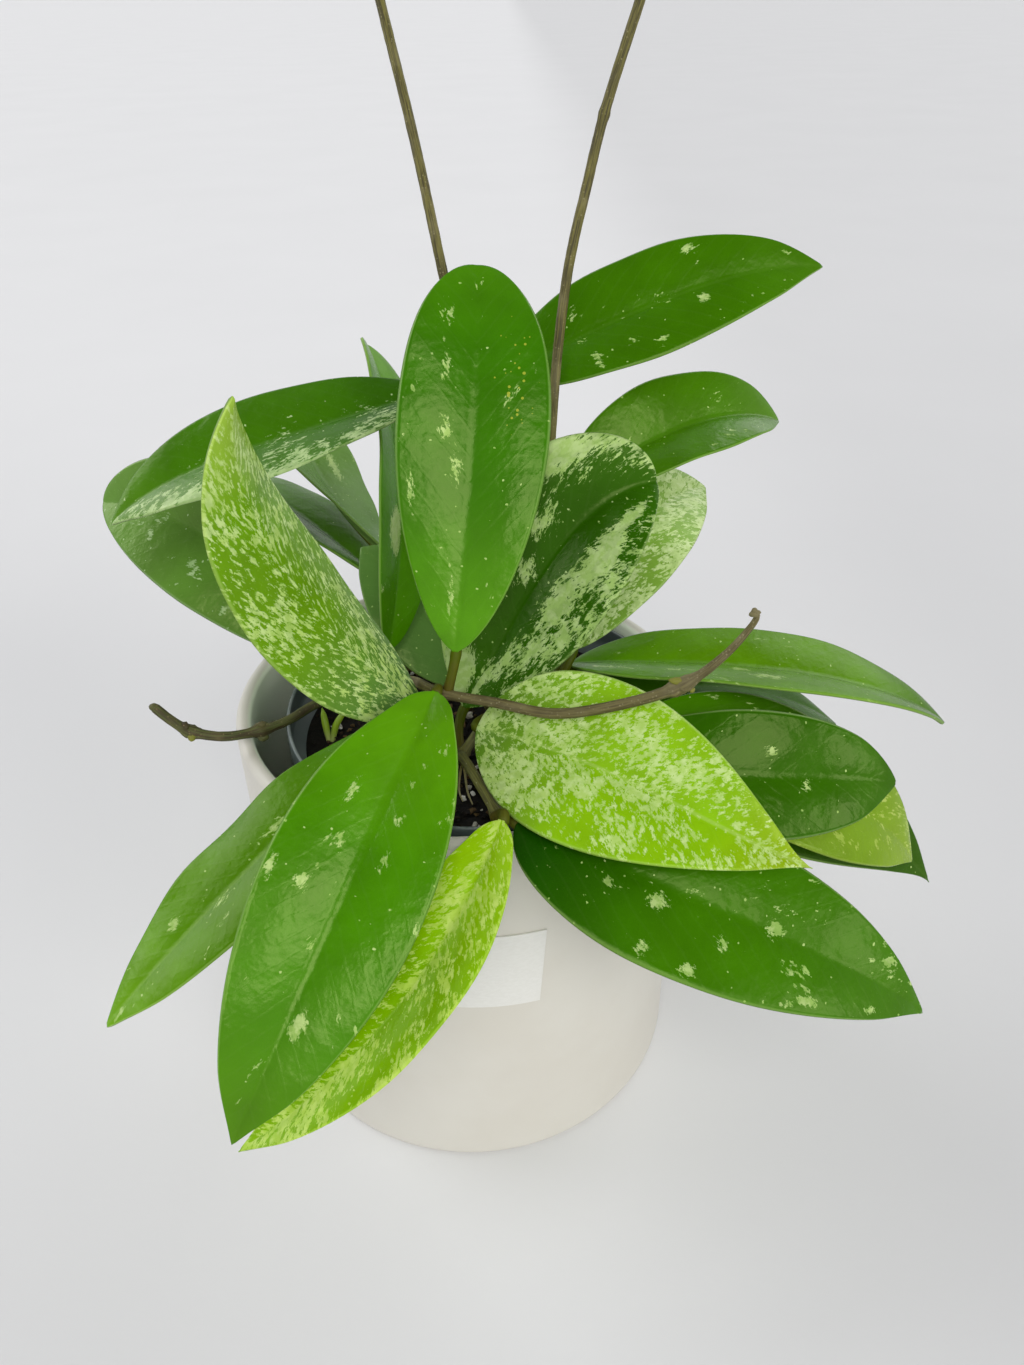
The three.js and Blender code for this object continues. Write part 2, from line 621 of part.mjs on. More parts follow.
function sproutGeometry() {
  const [x, y] = SPROUT.root;
  const buried = [[x, y, SOIL_EDGE_Z - STEM_DEPTH_IN_SOIL / 2], [x, y, SOIL_EDGE_Z - 2]];
  const spears = SPROUT.spears.map((spear) => {
    const curve = new THREE.CatmullRomCurve3([...buried, ...spear].map(vector));
    return solidOf(rod([0, 0.35, 0.6, 0.85, 1].map((part) => ({
      centre: curve.getPointAt(part),
      along: curve.getTangentAt(part),
      radius: SPROUT.radius * (part === 1 ? 0.35 : 1),
    })), STALK_SIDES));
  });
  return geometryOf(spears[0].add(spears[1]));
}

const plant = new THREE.Group();

function place(name, geometry, material) {
  const mesh = new THREE.Mesh(geometry, material.clone());
  mesh.name = name;
  plant.add(mesh);
}

place("cover_pot", ceramicPot(), MATERIALS.ceramic);
place("label", label(), MATERIALS.paper);
place("nursery_pot", nurseryPot(), MATERIALS.plastic);
place("soil", soil(), MATERIALS.soil);
place("sprout", sproutGeometry(), MATERIALS.shoot);
for (const [name, stem] of Object.entries(STEMS)) {
  place(name, geometryOf(stemSolid(stem)), MATERIALS.bark);
}
for (const leaf of LEAVES) {
  place(leaf.name, leafGeometry(leaf), MATERIALS[leaf.colour]);
}

export default plant;
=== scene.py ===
import logging
import math
import random
from collections.abc import Callable, Sequence
from dataclasses import dataclass
from enum import Enum
from statistics import NormalDist

import bmesh
import bpy
from bmesh.types import BMFace, BMesh, BMVert
from mathutils import Matrix, Vector, noise


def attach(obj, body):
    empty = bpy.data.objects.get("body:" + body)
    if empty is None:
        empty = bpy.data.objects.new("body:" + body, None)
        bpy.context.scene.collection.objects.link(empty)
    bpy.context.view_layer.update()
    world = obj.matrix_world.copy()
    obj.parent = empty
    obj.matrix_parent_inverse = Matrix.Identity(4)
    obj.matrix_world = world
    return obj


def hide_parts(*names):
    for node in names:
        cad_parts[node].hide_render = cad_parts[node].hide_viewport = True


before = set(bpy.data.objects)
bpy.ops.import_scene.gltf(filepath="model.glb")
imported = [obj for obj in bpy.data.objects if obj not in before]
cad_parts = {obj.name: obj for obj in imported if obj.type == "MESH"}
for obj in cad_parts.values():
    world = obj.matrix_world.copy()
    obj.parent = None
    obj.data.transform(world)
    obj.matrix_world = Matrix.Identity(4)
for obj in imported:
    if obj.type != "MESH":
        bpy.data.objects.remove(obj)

# Lengths are in millimetres and angles in degrees until a mesh is finished, and in metres after that.
LOG = logging.getLogger("plant")
MM = 0.001
BODY = "root"
Triple = tuple[float, float, float]
Tone = tuple[int, int, int]
Station = tuple[Vector, float]
Patch = tuple[float, float, float, float]
Pair = tuple[float, float]
Socket = bpy.types.NodeSocket
Material = bpy.types.Material
Piece = bpy.types.Object
# Spread of a noise pattern about its middle value.
NOISE_SPREAD = 0.108


class Slot(Enum):
    """Material slots that the record names."""

    CERAMIC = "ceramic"
    PAPER = "label_paper"
    PLASTIC = "nursery_plastic"
    SOIL = "soil"
    SHOOT = "shoot"
    BARK = "stem_bark"
    BRIGHT = "leaf_bright"
    DARK = "leaf_dark"
    SPLASHED = "leaf_splashed"


class Shading(Enum):
    """How the faces of a piece meet."""

    SMOOTH = True
    FACETED = False


def linear(tone: Tone) -> Triple:
    """Turn a display colour into the scene's own linear colour.

    Args:
        tone: Red, green and blue from 0 to 255 as a screen shows them.

    Returns:
        The same colour as three linear parts.
    """
    parts = (value / 255.0 for value in tone)
    return tuple(p / 12.92 if p <= 0.04045 else ((p + 0.055) / 1.055) ** 2.4 for p in parts)


def blend(first: float, second: float, amount: float) -> float:
    """Return the value that lies amount of the way from first to second."""
    return first + (second - first) * amount


class NodeSketch:
    """One material's nodes, added a step at a time."""

    def __init__(self, name: str) -> None:
        """Start a material that holds its surface shader alone.

        Args:
            name: Name of the new material.
        """
        self.material = bpy.data.materials.new(name)
        self.material.use_nodes = True
        self.tree = self.material.node_tree
        self.shader = self.tree.nodes["Principled BSDF"]

    def add(self, kind: str, **settings: object) -> bpy.types.Node:
        """Add one node.

        Args:
            kind: The node's type name.
            settings: Properties to set on it.

        Returns:
            The new node.
        """
        node = self.tree.nodes.new(kind)
        for key, value in settings.items():
            setattr(node, key, value)
        return node

    def feed(self, socket: Socket, value: object) -> None:
        """Link a socket to another one, or set its value.

        Args:
            socket: The input to fill.
            value: An output to link, a number, or a colour as a screen shows it.
        """
        if isinstance(value, Socket):
            self.tree.links.new(value, socket)
        elif socket.type == "RGBA":
            socket.default_value = (*linear(value), 1.0)
        else:
            socket.default_value = value

    def sum(self, kind: str, *values: object) -> Socket:
        """Add a Math node.

        Args:
            kind: The operation's name.
            values: Its inputs in order.

        Returns:
            The result's socket.
        """
        node = self.add("ShaderNodeMath", operation=kind)
        for socket, value in zip(node.inputs, values):
            self.feed(socket, value)
        return node.outputs[0]

    def times(self, first: object, second: object) -> Socket:
        """Multiply two values."""
        return self.sum("MULTIPLY", first, second)

    def line(self, value: object, slope: object, offset: object) -> Socket:
        """Scale a value by the slope and add the offset."""
        return self.sum("MULTIPLY_ADD", value, slope, offset)

    def step(self, value: object, low: object, high: object) -> Socket:
        """Rise smoothly from 0 at low to 1 at high, or fall where low is the larger.

        Args:
            value: The value to look at.
            low: Where the result is 0.
            high: Where the result is 1.

        Returns:
            The result's socket.
        """
        node = self.add("ShaderNodeMapRange", interpolation_type="SMOOTHSTEP")
        for socket, given in zip(node.inputs, (value, low, high)):
            self.feed(socket, given)
        return node.outputs[0]

    def mix(self, amount: object, first: object, second: object) -> Socket:
        """Mix two colours.

        Args:
            amount: Share of the second colour.
            first: Colour at 0.
            second: Colour at 1.

        Returns:
            The mixed colour's socket.
        """
        node = self.add("ShaderNodeMix", data_type="RGBA")
        for index, value in ((0, amount), (6, first), (7, second)):
            self.feed(node.inputs[index], value)
        return node.outputs[2]

    def noise(self, at: object, scale: float, detail: float = 3.0, rough: float = 0.55) -> Socket:
        """Add a noise pattern.

        Args:
            at: Coordinates to read it at.
            scale: Waves per unit of the coordinates.
            detail: Number of finer layers.
            rough: Strength of the finer layers.

        Returns:
            The pattern's value, about 0.5 on average.
        """
        node = self.add("ShaderNodeTexNoise")
        for key, value in (("Vector", at), ("Scale", scale), ("Detail", detail), ("Roughness", rough)):
            self.feed(node.inputs[key], value)
        return node.outputs[0]

    def cells(self, at: object, scale: float) -> tuple[Socket, Socket]:
        """Add a pattern of cells.

        Args:
            at: Coordinates to read it at.
            scale: Cells per unit of the coordinates.

        Returns:
            Distance from the nearest cell's centre, and a chance value that is the cell's own.
        """
        node = self.add("ShaderNodeTexVoronoi")
        self.feed(node.inputs["Vector"], at)
        self.feed(node.inputs["Scale"], scale)
        return node.outputs["Distance"], self.split(node.outputs["Color"])[0]

    def ramp(self, value: object, stops: Sequence[tuple[float, Tone]]) -> Socket:
        """Turn a value into a colour.

        Args:
            value: Value from 0 to 1.
            stops: Places on the ramp with their colours, the lowest and the highest first.

        Returns:
            The colour's socket.
        """
        node = self.add("ShaderNodeValToRGB")
        self.feed(node.inputs[0], value)
        points = node.color_ramp.elements
        for index, (place, tone) in enumerate(stops):
            point = points[index] if index < 2 else points.new(place)
            point.position = place
            point.color = (*linear(tone), 1.0)
        return node.outputs[0]

    def brighten(self, colour: object, value: object, strength: object = 1.0) -> Socket:
        """Scale a colour's brightness and saturation.

        Args:
            colour: The colour to change.
            value: Factor for its brightness.
            strength: Factor for its saturation.

        Returns:
            The new colour's socket.
        """
        node = self.add("ShaderNodeHueSaturation")
        for key, given in (("Color", colour), ("Value", value), ("Saturation", strength)):
            self.feed(node.inputs[key], given)
        return node.outputs[0]

    def uv(self, name: str) -> Socket:
        """Return the coordinates of a UV map."""
        return self.add("ShaderNodeUVMap", uv_map=name).outputs[0]

    def place(self) -> Socket:
        """Return the object's own coordinates in metres."""
        return self.add("ShaderNodeTexCoord").outputs["Object"]

    def split(self, vector: object) -> tuple[Socket, ...]:
        """Take a vector apart.

        Args:
            vector: The vector.

        Returns:
            Sockets of its three parts.
        """
        node = self.add("ShaderNodeSeparateXYZ")
        self.feed(node.inputs[0], vector)
        return tuple(node.outputs)

    def join(self, *parts: object) -> Socket:
        """Put a vector together.

        Args:
            parts: Its three parts.

        Returns:
            The vector's socket.
        """
        node = self.add("ShaderNodeCombineXYZ")
        for socket, value in zip(node.inputs, parts):
            self.feed(socket, value)
        return node.outputs[0]

    def bump(self, height: object, depth: float) -> Socket:
        """Turn a height pattern into a bent normal.

        Args:
            height: Height from 0 to 1.
            depth: Depth in millimetres that a height of 1 stands for.

        Returns:
            The normal's socket.
        """
        node = self.add("ShaderNodeBump")
        self.feed(node.inputs["Distance"], depth * MM)
        self.feed(node.inputs["Height"], height)
        return node.outputs[0]

    def done(self, colour: object, rough: object, normal: object, gloss: float) -> Material:
        """Fill the surface shader.

        Args:
            colour: Base colour.
            rough: Roughness.
            normal: Bent normal.
            gloss: Specular level, the same all over.

        Returns:
            The finished material.
        """
        self.feed(self.shader.inputs["Base Color"], colour)
        self.feed(self.shader.inputs["Roughness"], rough)
        self.feed(self.shader.inputs["Normal"], normal)
        self.shader.inputs["Specular IOR Level"].default_value = gloss
        return self.material


@dataclass(frozen=True)
class CeramicGlaze:
    """Warm white satin glaze with faint clouding, and painted bounce light inside the mouth."""

    tone: Tone = (212, 209, 199)
    cloud: Tone = (208, 204, 193)
    # inside: painted light, a brighter greenish tone that stands in for light bounced from the leaves inside
    # the mouth.
    inside: Tone = (240, 248, 228)
    mouth: float = 61.0
    bare: Tone = (205, 196, 178)
    foot: float = 1.1
    rough: float = 0.42

    def material(self) -> Material:
        """Make the glaze, bare clay below the foot's edge."""
        n = NodeSketch("white_glaze")
        at = n.place()
        soft = n.noise(at, 24.0, 4.0)
        grain = n.noise(at, 900.0, 2.0)
        height = n.split(at)[2]
        glazed = n.mix(n.step(soft, 0.35, 0.7), self.tone, self.cloud)
        x, y, _ = n.split(at)
        reach = n.sum("SQRT", n.line(x, x, n.times(y, y)))
        # Painted bounce light: inside the mouth the glaze turns to the brighter greenish inside tone.
        within = n.step(reach, self.mouth * MM, (self.mouth - 1.0) * MM)
        glazed = n.mix(within, glazed, self.inside)
        clay = n.mix(grain, self.bare, self.cloud)
        low = n.step(height, self.foot * MM, self.foot * MM * 0.4)
        rough = n.line(soft, 0.12, self.rough - 0.06)
        rough = n.line(low, 0.35, rough)
        relief = n.line(soft, 0.8, n.times(grain, 0.06))
        return n.done(n.mix(low, glazed, clay), rough, n.bump(relief, 0.25), 0.45)


@dataclass(frozen=True)
class PaperFinish:
    """Matt white label paper with a fine fibre."""

    tone: Tone = (226, 225, 220)
    shade: Tone = (221, 220, 214)
    rough: float = 0.62

    def material(self) -> Material:
        """Make the paper."""
        n = NodeSketch("label_paper")
        at = n.place()
        x, y, z = n.split(at)
        fibre = n.noise(n.join(n.times(x, 0.4), y, z), 1500.0, 4.0, 0.7)
        colour = n.mix(n.step(fibre, 0.3, 0.7), self.tone, self.shade)
        rough = n.line(fibre, 0.1, self.rough - 0.05)
        return n.done(colour, rough, n.bump(fibre, 0.012), 0.3)


@dataclass(frozen=True)
class PlasticFinish:
    """Thin grey-black moulded plastic with faint pale dust, and a painted highlight along its rim."""

    tone: Tone = (78, 88, 88)
    dust_and_highlight_tone: Tone = (124, 132, 130)
    rim: float = 126.0
    rough: float = 0.36

    def material(self) -> Material:
        """Make the plastic."""
        n = NodeSketch("dark_plastic")
        at = n.place()
        height = n.split(at)[2]
        scuff = n.noise(at, 260.0, 5.0, 0.65)
        cloud = n.noise(at, 45.0, 3.0)
        # Painted highlight: the top 0.2 mm of the rim is painted pale in patches set by the scuff noise; the
        # cloud adds faint pale dust all over.
        near = n.step(height, (self.rim - 0.22) * MM, (self.rim - 0.04) * MM)
        rim_painted_highlight = n.times(near, n.step(scuff, 0.25, 0.6))
        dust_and_rim_highlight = n.sum("MAXIMUM", rim_painted_highlight, n.times(n.step(cloud, 0.5, 0.8), 0.35))
        colour = n.mix(dust_and_rim_highlight, self.tone, self.dust_and_highlight_tone)
        rough = n.line(scuff, 0.25, self.rough - 0.1)
        return n.done(colour, rough, n.bump(scuff, 0.05), 0.4)


@dataclass(frozen=True)
class EarthFinish:
    """Crumbly matter whose tone changes from piece to piece."""

    name: str
    dark: Tone
    middle: Tone
    light: Tone
    grain: float = 900.0
    depth: float = 0.35
    rough: float = 0.85

    def material(self) -> Material:
        """Make the matter, each piece's own shade read from the skin map."""
        n = NodeSketch(self.name)
        at = n.place()
        own = n.split(n.uv("skin"))[0]
        fine = n.noise(at, self.grain, 5.0, 0.7)
        shade = n.line(fine, 0.7, n.line(own, 0.6, -0.15))
        colour = n.ramp(shade, ((0.25, self.dark), (0.8, self.light), (0.5, self.middle)))
        rough = n.line(fine, -0.2, self.rough + 0.1)
        return n.done(colour, rough, n.bump(fine, self.depth), 0.25)


@dataclass(frozen=True)
class BarkFinish:
    """Thin scurfy skin of a stem, with lengthwise lines and pale specks."""

    name: str
    tone: Tone = (114, 108, 54)
    dark: Tone = (66, 60, 32)
    pale: Tone = (146, 138, 98)
    specks: float = 0.3
    rough: float = 0.6

    def material(self) -> Material:
        """Make the bark."""
        n = NodeSketch(self.name)
        around, run, _ = n.split(n.uv("skin"))
        at = n.place()
        lines = n.noise(n.join(n.times(around, 16.0), n.times(run, 1.1), 0.3), 1.0, 4.0, 0.65)
        cloud = n.noise(at, 130.0, 3.0)
        reach, chance = n.cells(at, 1500.0)
        speck = n.times(n.step(reach, 0.42, 0.2), n.step(chance, 1.0 - self.specks, 1.0))
        colour = n.mix(n.step(lines, 0.38, 0.62), self.dark, self.tone)
        colour = n.mix(n.times(n.step(cloud, 0.45, 0.75), 0.4), colour, self.pale)
        colour = n.mix(n.times(speck, 0.75), colour, self.pale)
        rough = n.line(lines, 0.2, self.rough - 0.1)
        relief = n.line(speck, 0.3, lines)
        return n.done(colour, rough, n.bump(relief, 0.18), 0.3)


@dataclass(frozen=True)
class SkinFinish:
    """Soft green skin of a stalk, a bud, a sprout or a leaf's underside."""

    name: str
    low: Tone
    high: Tone
    run: float = 1.2
    rough: float = 0.45
    gloss: float = 0.4

    def material(self) -> Material:
        """Make the skin, its tone passing from low to high along the piece."""
        n = NodeSketch(self.name)
        around, run, _ = n.split(n.uv("skin"))
        at = n.place()
        cloud = n.noise(at, 160.0, 4.0)
        fine = n.noise(n.join(n.times(around, 14.0), n.times(run, 2.0), 0.0), 1.0, 3.0)
        share = n.sum("ADD", n.sum("DIVIDE", run, self.run), n.sum("SUBTRACT", cloud, 0.5))
        colour = n.mix(n.step(share, 0.0, 1.0), self.low, self.high)
        colour = n.brighten(colour, n.line(fine, 0.4, 0.8))
        rough = n.line(cloud, 0.2, self.rough - 0.1)
        return n.done(colour, rough, n.bump(fine, 0.08), self.gloss)


@dataclass(frozen=True)
class LeafFinish:
    """Waxy upper face of a leaf with its splashes.

    The run holds the green at the base, the middle and the tip. Cover is the share of the face under
    splashes, lean moves them to the left half, reach towards the tip and margin towards the margins.
    Slant follows the side veins. Blotches are the largest splashes, set about where the real
    leaf has them: place across from the right margin (-1) to the left (1), place along (0 to 1), and
    half breadth and half length in millimetres. Freckles are patches of small yellow dots in the same
    terms. Tear is how far a patch's outline strays in millimetres, and wax tints the gloss.
    """

    slot: Slot
    run: tuple[Tone, Tone, Tone]
    pale: Tone = (156, 192, 98)
    cream: Tone = (188, 213, 134)
    cover: float = 0.04
    grain: float = 1.0
    stretch: float = 2.2
    lean: float = 0.0
    reach: float = 0.0
    margin: float = 0.0
    slant: float = 0.35
    clump: float = 0.6
    dots: float = 0.14
    blotches: tuple[Patch, ...] = ()
    freckles: tuple[Patch, ...] = ()
    freckle: Tone = (176, 182, 58)
    tear: float = 9.0
    midrib: float = 0.03
    edge: float = 0.35
    rough: float = 0.25
    gloss: float = 0.32
    wax: Triple = (0.9, 1.0, 0.42)

    def outside(self, n: NodeSketch, spots: Sequence[Patch], size: Pair) -> Socket:
        """Measure how far a place lies outside the nearest patch.

        Args:
            n: The material's nodes.
            spots: The patches: place across, place along, half breadth, half length.
            size: The leaf's length and breadth.

        Returns:
            Socket with the distance in millimetres, below 0 within a patch.
        """
        across, along, _ = n.split(n.uv("blade"))
        nearest: object = 9.0
        for x, y, breadth, length in spots:
            stretch = size[1] / 2 / breadth
            wide = n.line(across, 2.0 * stretch, (-1.0 - x) * stretch)
            far = n.line(along, size[0] / length, -y * size[0] / length)
            gap = n.sum("SQRT", n.line(wide, wide, n.times(far, far)))
            reach = min(breadth, length)
            nearest = n.sum("MINIMUM", nearest, n.line(gap, reach, -reach))
        return nearest

    def splashes(self, n: NodeSketch, seed: float, size: Pair) -> Socket:
        """Draw where the pale splashes lie.

        Args:
            n: The material's nodes.
            seed: Number that sets this leaf's pattern apart.
            size: The leaf's length and breadth.

        Returns:
            Socket that is 1 on a splash and 0 beside it.
        """
        side = n.line(n.split(n.uv("blade"))[0], 2.0, -1.0)
        along = n.split(n.uv("blade"))[1]
        out, run, _ = n.split(n.uv("skin"))
        away = n.sum("ABSOLUTE", out)
        half = n.line(n.sum("GREATER_THAN", side, 0.0), 7.0, seed)
        drift = n.line(run, -self.slant, away)
        pace = 4.4 / self.grain
        at = n.join(n.times(drift, pace), n.times(run, pace / self.stretch), half)
        fine = n.noise(at, 1.0, 7.0, 0.72)
        clump = n.noise(n.join(out, n.times(run, 0.55), seed + 3.1), 1.5, 3.0)
        level = n.line(n.sum("SUBTRACT", clump, 0.5), self.clump, fine)
        level = n.line(side, self.lean, level)
        level = n.line(n.sum("SUBTRACT", along, 0.5), self.reach, level)
        level = n.line(n.sum("SUBTRACT", n.sum("ABSOLUTE", side), 0.5), self.margin, level)
        bar = 0.5 + NOISE_SPREAD * NormalDist().inv_cdf(1.0 - self.cover)
        shown = n.step(level, bar - 0.006, bar + 0.01)
        faint = n.step(n.noise(n.join(out, n.times(run, 0.6), half), 3.2, 3.0, 0.6), 0.4, 0.56)
        shown = n.times(shown, n.line(faint, 0.3, 0.7))
        dot_at = n.join(n.line(fine, 0.25, out), run, half)
        reach, chance = n.cells(dot_at, 7.0)
        dot = n.times(n.step(chance, 1.0 - self.dots, 1.0), 0.22)
        shown = n.sum("MAXIMUM", shown, n.step(n.sum("SUBTRACT", dot, reach), 0.0, 0.04))
        if self.blotches:
            torn_at = n.join(n.times(drift, 11.0), n.times(run, 11.0 / self.stretch), half)
            torn = n.line(n.noise(torn_at, 1.0, 6.0, 0.76), self.tear, -0.5 * self.tear)
            patch = n.step(n.sum("ADD", self.outside(n, self.blotches, size), torn), -0.3, -0.5)
            shown = n.sum("MAXIMUM", shown, n.times(patch, n.line(faint, 0.2, 0.8)))
        return shown

    def material(self, name: str, seed: float, size: Pair) -> Material:
        """Make the leaf's upper face.

        Args:
            name: Name of the material.
            seed: Number that sets this leaf's pattern apart.
            size: The leaf's length and breadth.

        Returns:
            The finished material.
        """
        n = NodeSketch(name)
        across, along, _ = n.split(n.uv("blade"))
        out, run, _ = n.split(n.uv("skin"))
        away = n.sum("ABSOLUTE", out)
        skin = n.join(out, run, seed)
        cloud = n.noise(skin, 0.7, 3.0)
        fine = n.noise(skin, 9.0, 4.0, 0.6)
        base, middle, tip = self.run
        colour = n.ramp(along, ((0.08, base), (0.98, tip), (0.4, middle), (0.75, middle)))
        colour = n.brighten(colour, n.line(cloud, 0.6, 0.7))
        bend = n.line(away, -1.25, n.line(cloud, 0.5, run))
        wave = n.sum("SINE", n.times(bend, 10.5))
        vein = n.step(wave, 0.8, 1.0)
        colour = n.mix(n.times(vein, 0.008), colour, self.cream)
        shown = self.splashes(n, seed, size)
        tone = n.mix(n.step(n.noise(skin, 4.0, 3.0, 0.7), 0.42, 0.6), self.pale, self.cream)
        colour = n.mix(n.times(shown, 0.9), colour, tone)
        if self.freckles:
            reach, chance = n.cells(skin, 8.5)
            near = n.step(self.outside(n, self.freckles, size), 1.5, -4.0)
            dot = n.times(n.step(chance, 0.35, 1.0), n.times(near, 0.42))
            dot = n.step(n.sum("SUBTRACT", dot, reach), 0.0, 0.06)
            colour = n.mix(n.times(dot, 0.75), colour, self.freckle)
        rib = n.step(away, 0.07, 0.02)
        colour = n.mix(n.times(rib, self.midrib), colour, self.pale)
        rim = n.step(n.sum("ABSOLUTE", n.line(across, 2.0, -1.0)), 0.95, 0.985)
        colour = n.mix(n.times(rim, self.edge), colour, self.pale)
        rough = n.line(fine, 0.16, self.rough - 0.08)
        rough = n.line(shown, 0.05, rough)
        height = n.line(cloud, 1.6, n.times(fine, 0.14))
        height = n.line(vein, -0.04, height)
        height = n.line(n.noise(skin, 2.6, 2.0), 0.6, height)
        n.shader.inputs["Specular Tint"].default_value = (*self.wax, 1.0)
        return n.done(colour, rough, n.bump(height, 0.34), self.gloss)


UNDERSIDE = SkinFinish("leaf_underside", (120, 150, 76), (128, 158, 82), 9.0, 0.6, 0.25)
STALK = SkinFinish("leaf_stalk", (86, 80, 26), (74, 88, 0), 1.3, 0.5, 0.14)


def finish_piece(
    name: str,
    bm: BMesh,
    materials: Sequence[Material],
    nodes: Sequence[str] = (),
    shading: Shading = Shading.SMOOTH,
) -> Piece:
    """Turn a shaped mesh into a piece of the scene.

    Args:
        name: Name of the piece.
        bm: Its mesh in millimetres, which is freed.
        materials: Its materials in the order of the faces' indices.
        nodes: The solids that it stands for.
        shading: Smooth or faceted.

    Returns:
        The new object.
    """
    bmesh.ops.scale(bm, vec=(MM, MM, MM), verts=bm.verts)
    mesh = bpy.data.meshes.new(name)
    bm.to_mesh(mesh)
    bm.free()
    for polygon in mesh.polygons:
        polygon.use_smooth = shading.value
    for material in materials:
        mesh.materials.append(material)
    piece = bpy.data.objects.new(name, mesh)
    bpy.context.scene.collection.objects.link(piece)
    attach(piece, BODY)
    if nodes:
        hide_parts(*nodes)
    LOG.info("%s: %d faces", name, len(mesh.polygons))
    return piece


def write_map(bm: BMesh, name: str, faces: Sequence[BMFace], where: Callable[[BMVert], Pair]) -> None:
    """Write a UV map on some faces.

    Args:
        bm: The mesh.
        name: Name of the map.
        faces: Faces to write.
        where: Gives each corner's place from its vertex.
    """
    layer = bm.loops.layers.uv.get(name) or bm.loops.layers.uv.new(name)
    for face in faces:
        for corner in face.loops:
            corner[layer].uv = where(corner.vert)


def double_sheet(bm: BMesh, columns: int, rows: int) -> dict[BMVert, Triple]:
    """Make a closed flat sheet with an upper and a lower face.

    Args:
        bm: An empty mesh to make it in.
        columns: Faces across.
        rows: Faces along.

    Returns:
        Each vertex with its place across (-1 to 1), along (0 to 1) and its face (1 upper, -1 lower).
    """
    bmesh.ops.create_grid(bm, x_segments=columns, y_segments=rows, size=1.0)
    copy = bmesh.ops.duplicate(bm, geom=[*bm.verts, *bm.edges, *bm.faces])["geom"]
    low = [part for part in copy if isinstance(part, BMVert)]
    bmesh.ops.translate(bm, vec=(0.0, 0.0, -1.0), verts=low)
    under = [part for part in copy if isinstance(part, BMFace)]
    bmesh.ops.reverse_faces(bm, faces=under)
    for face in under:
        face.material_index = 1
    bmesh.ops.bridge_loops(bm, edges=[edge for edge in bm.edges if edge.is_boundary])
    return {v: (v.co.x, (v.co.y + 1.0) / 2.0, 1.0 if v.co.z > -0.5 else -1.0) for v in bm.verts}


def turned(profile: Sequence[Pair], steps: int) -> BMesh:
    """Spin a profile that starts and ends on the axis into a closed body.

    Args:
        profile: Radius and height of each point.
        steps: Faces around.

    Returns:
        The body's mesh.
    """
    bm = bmesh.new()
    line = [bm.verts.new((radius, 0.0, height)) for radius, height in profile]
    for first, second in zip(line, line[1:]):
        bm.edges.new((first, second))
    bmesh.ops.spin(
        bm, geom=[*bm.verts, *bm.edges], cent=(0, 0, 0), axis=(0, 0, 1),
        angle=math.tau, steps=steps, use_merge=True,
    )
    bmesh.ops.remove_doubles(bm, verts=bm.verts, dist=0.001)
    bmesh.ops.recalc_face_normals(bm, faces=bm.faces)
    return bm


def arc(centre: Pair, radius: float, start: float, end: float, steps: int) -> list[Pair]:
    """Return points of an arc in a profile.

    Args:
        centre: Its centre's radius and height.
        radius: Its own radius.
        start: Angle of the first point.
        end: Angle of the last point.
        steps: Number of pieces.

    Returns:
        The points in order.
    """
    turns = [math.radians(blend(start, end, i / steps)) for i in range(steps + 1)]
    return [(centre[0] + radius * math.cos(a), centre[1] + radius * math.sin(a)) for a in turns]


def curve_through(points: Sequence[Triple], spacing: float = 0.9) -> list[Vector]:
    """Run a smooth curve through points.

    Args:
        points: The points in order.
        spacing: Greatest distance between the points returned.

    Returns:
        Points along the curve, the given ones among them.
    """
    knots = [Vector(p) for p in points]
    knots = [2 * knots[0] - knots[1], *knots, 2 * knots[-1] - knots[-2]]
    line = [knots[1]]
    for before, start, end, after in zip(knots, knots[1:], knots[2:], knots[3:]):
        d0, d1, d2 = ((b - a).length ** 0.5 for a, b in ((before, start), (start, end), (end, after)))
        leave = ((start - before) / d0 - (end - before) / (d0 + d1) + (end - start) / d1) * d1
        arrive = ((end - start) / d1 - (after - start) / (d1 + d2) + (after - end) / d2) * d1
        count = max(2, math.ceil((end - start).length / spacing))
        for step in range(1, count + 1):
            t = step / count
            bend = (2 * start - 2 * end + leave + arrive) * t**3
            line.append(start + leave * t + (3 * end - 3 * start - 2 * leave - arrive) * t**2 + bend)
    return line


def round_ends(stations: Sequence[Station], bulge: float = 0.8) -> list[Station]:
    """Close a tube's ends with round caps.

    Args:
        stations: The tube's points and radii.
        bulge: Height of a cap as a share of its radius.

    Returns:
        The stations with those of the caps.
    """
    first, last = stations[0], stations[-1]
    back = (first[0] - stations[1][0]).normalized()
    ahead = (last[0] - stations[-2][0]).normalized()
    turns = [math.radians(a) for a in (30, 55, 75, 90)]

    def cap(station: Station, out: Vector) -> list[Station]:
        """Return a cap's stations from the tube's end outward."""
        point, radius = station
        return [(point + out * radius * bulge * math.sin(a), radius * math.cos(a)) for a in turns]

    return [*reversed(cap(first, back)), *stations, *cap(last, ahead)]


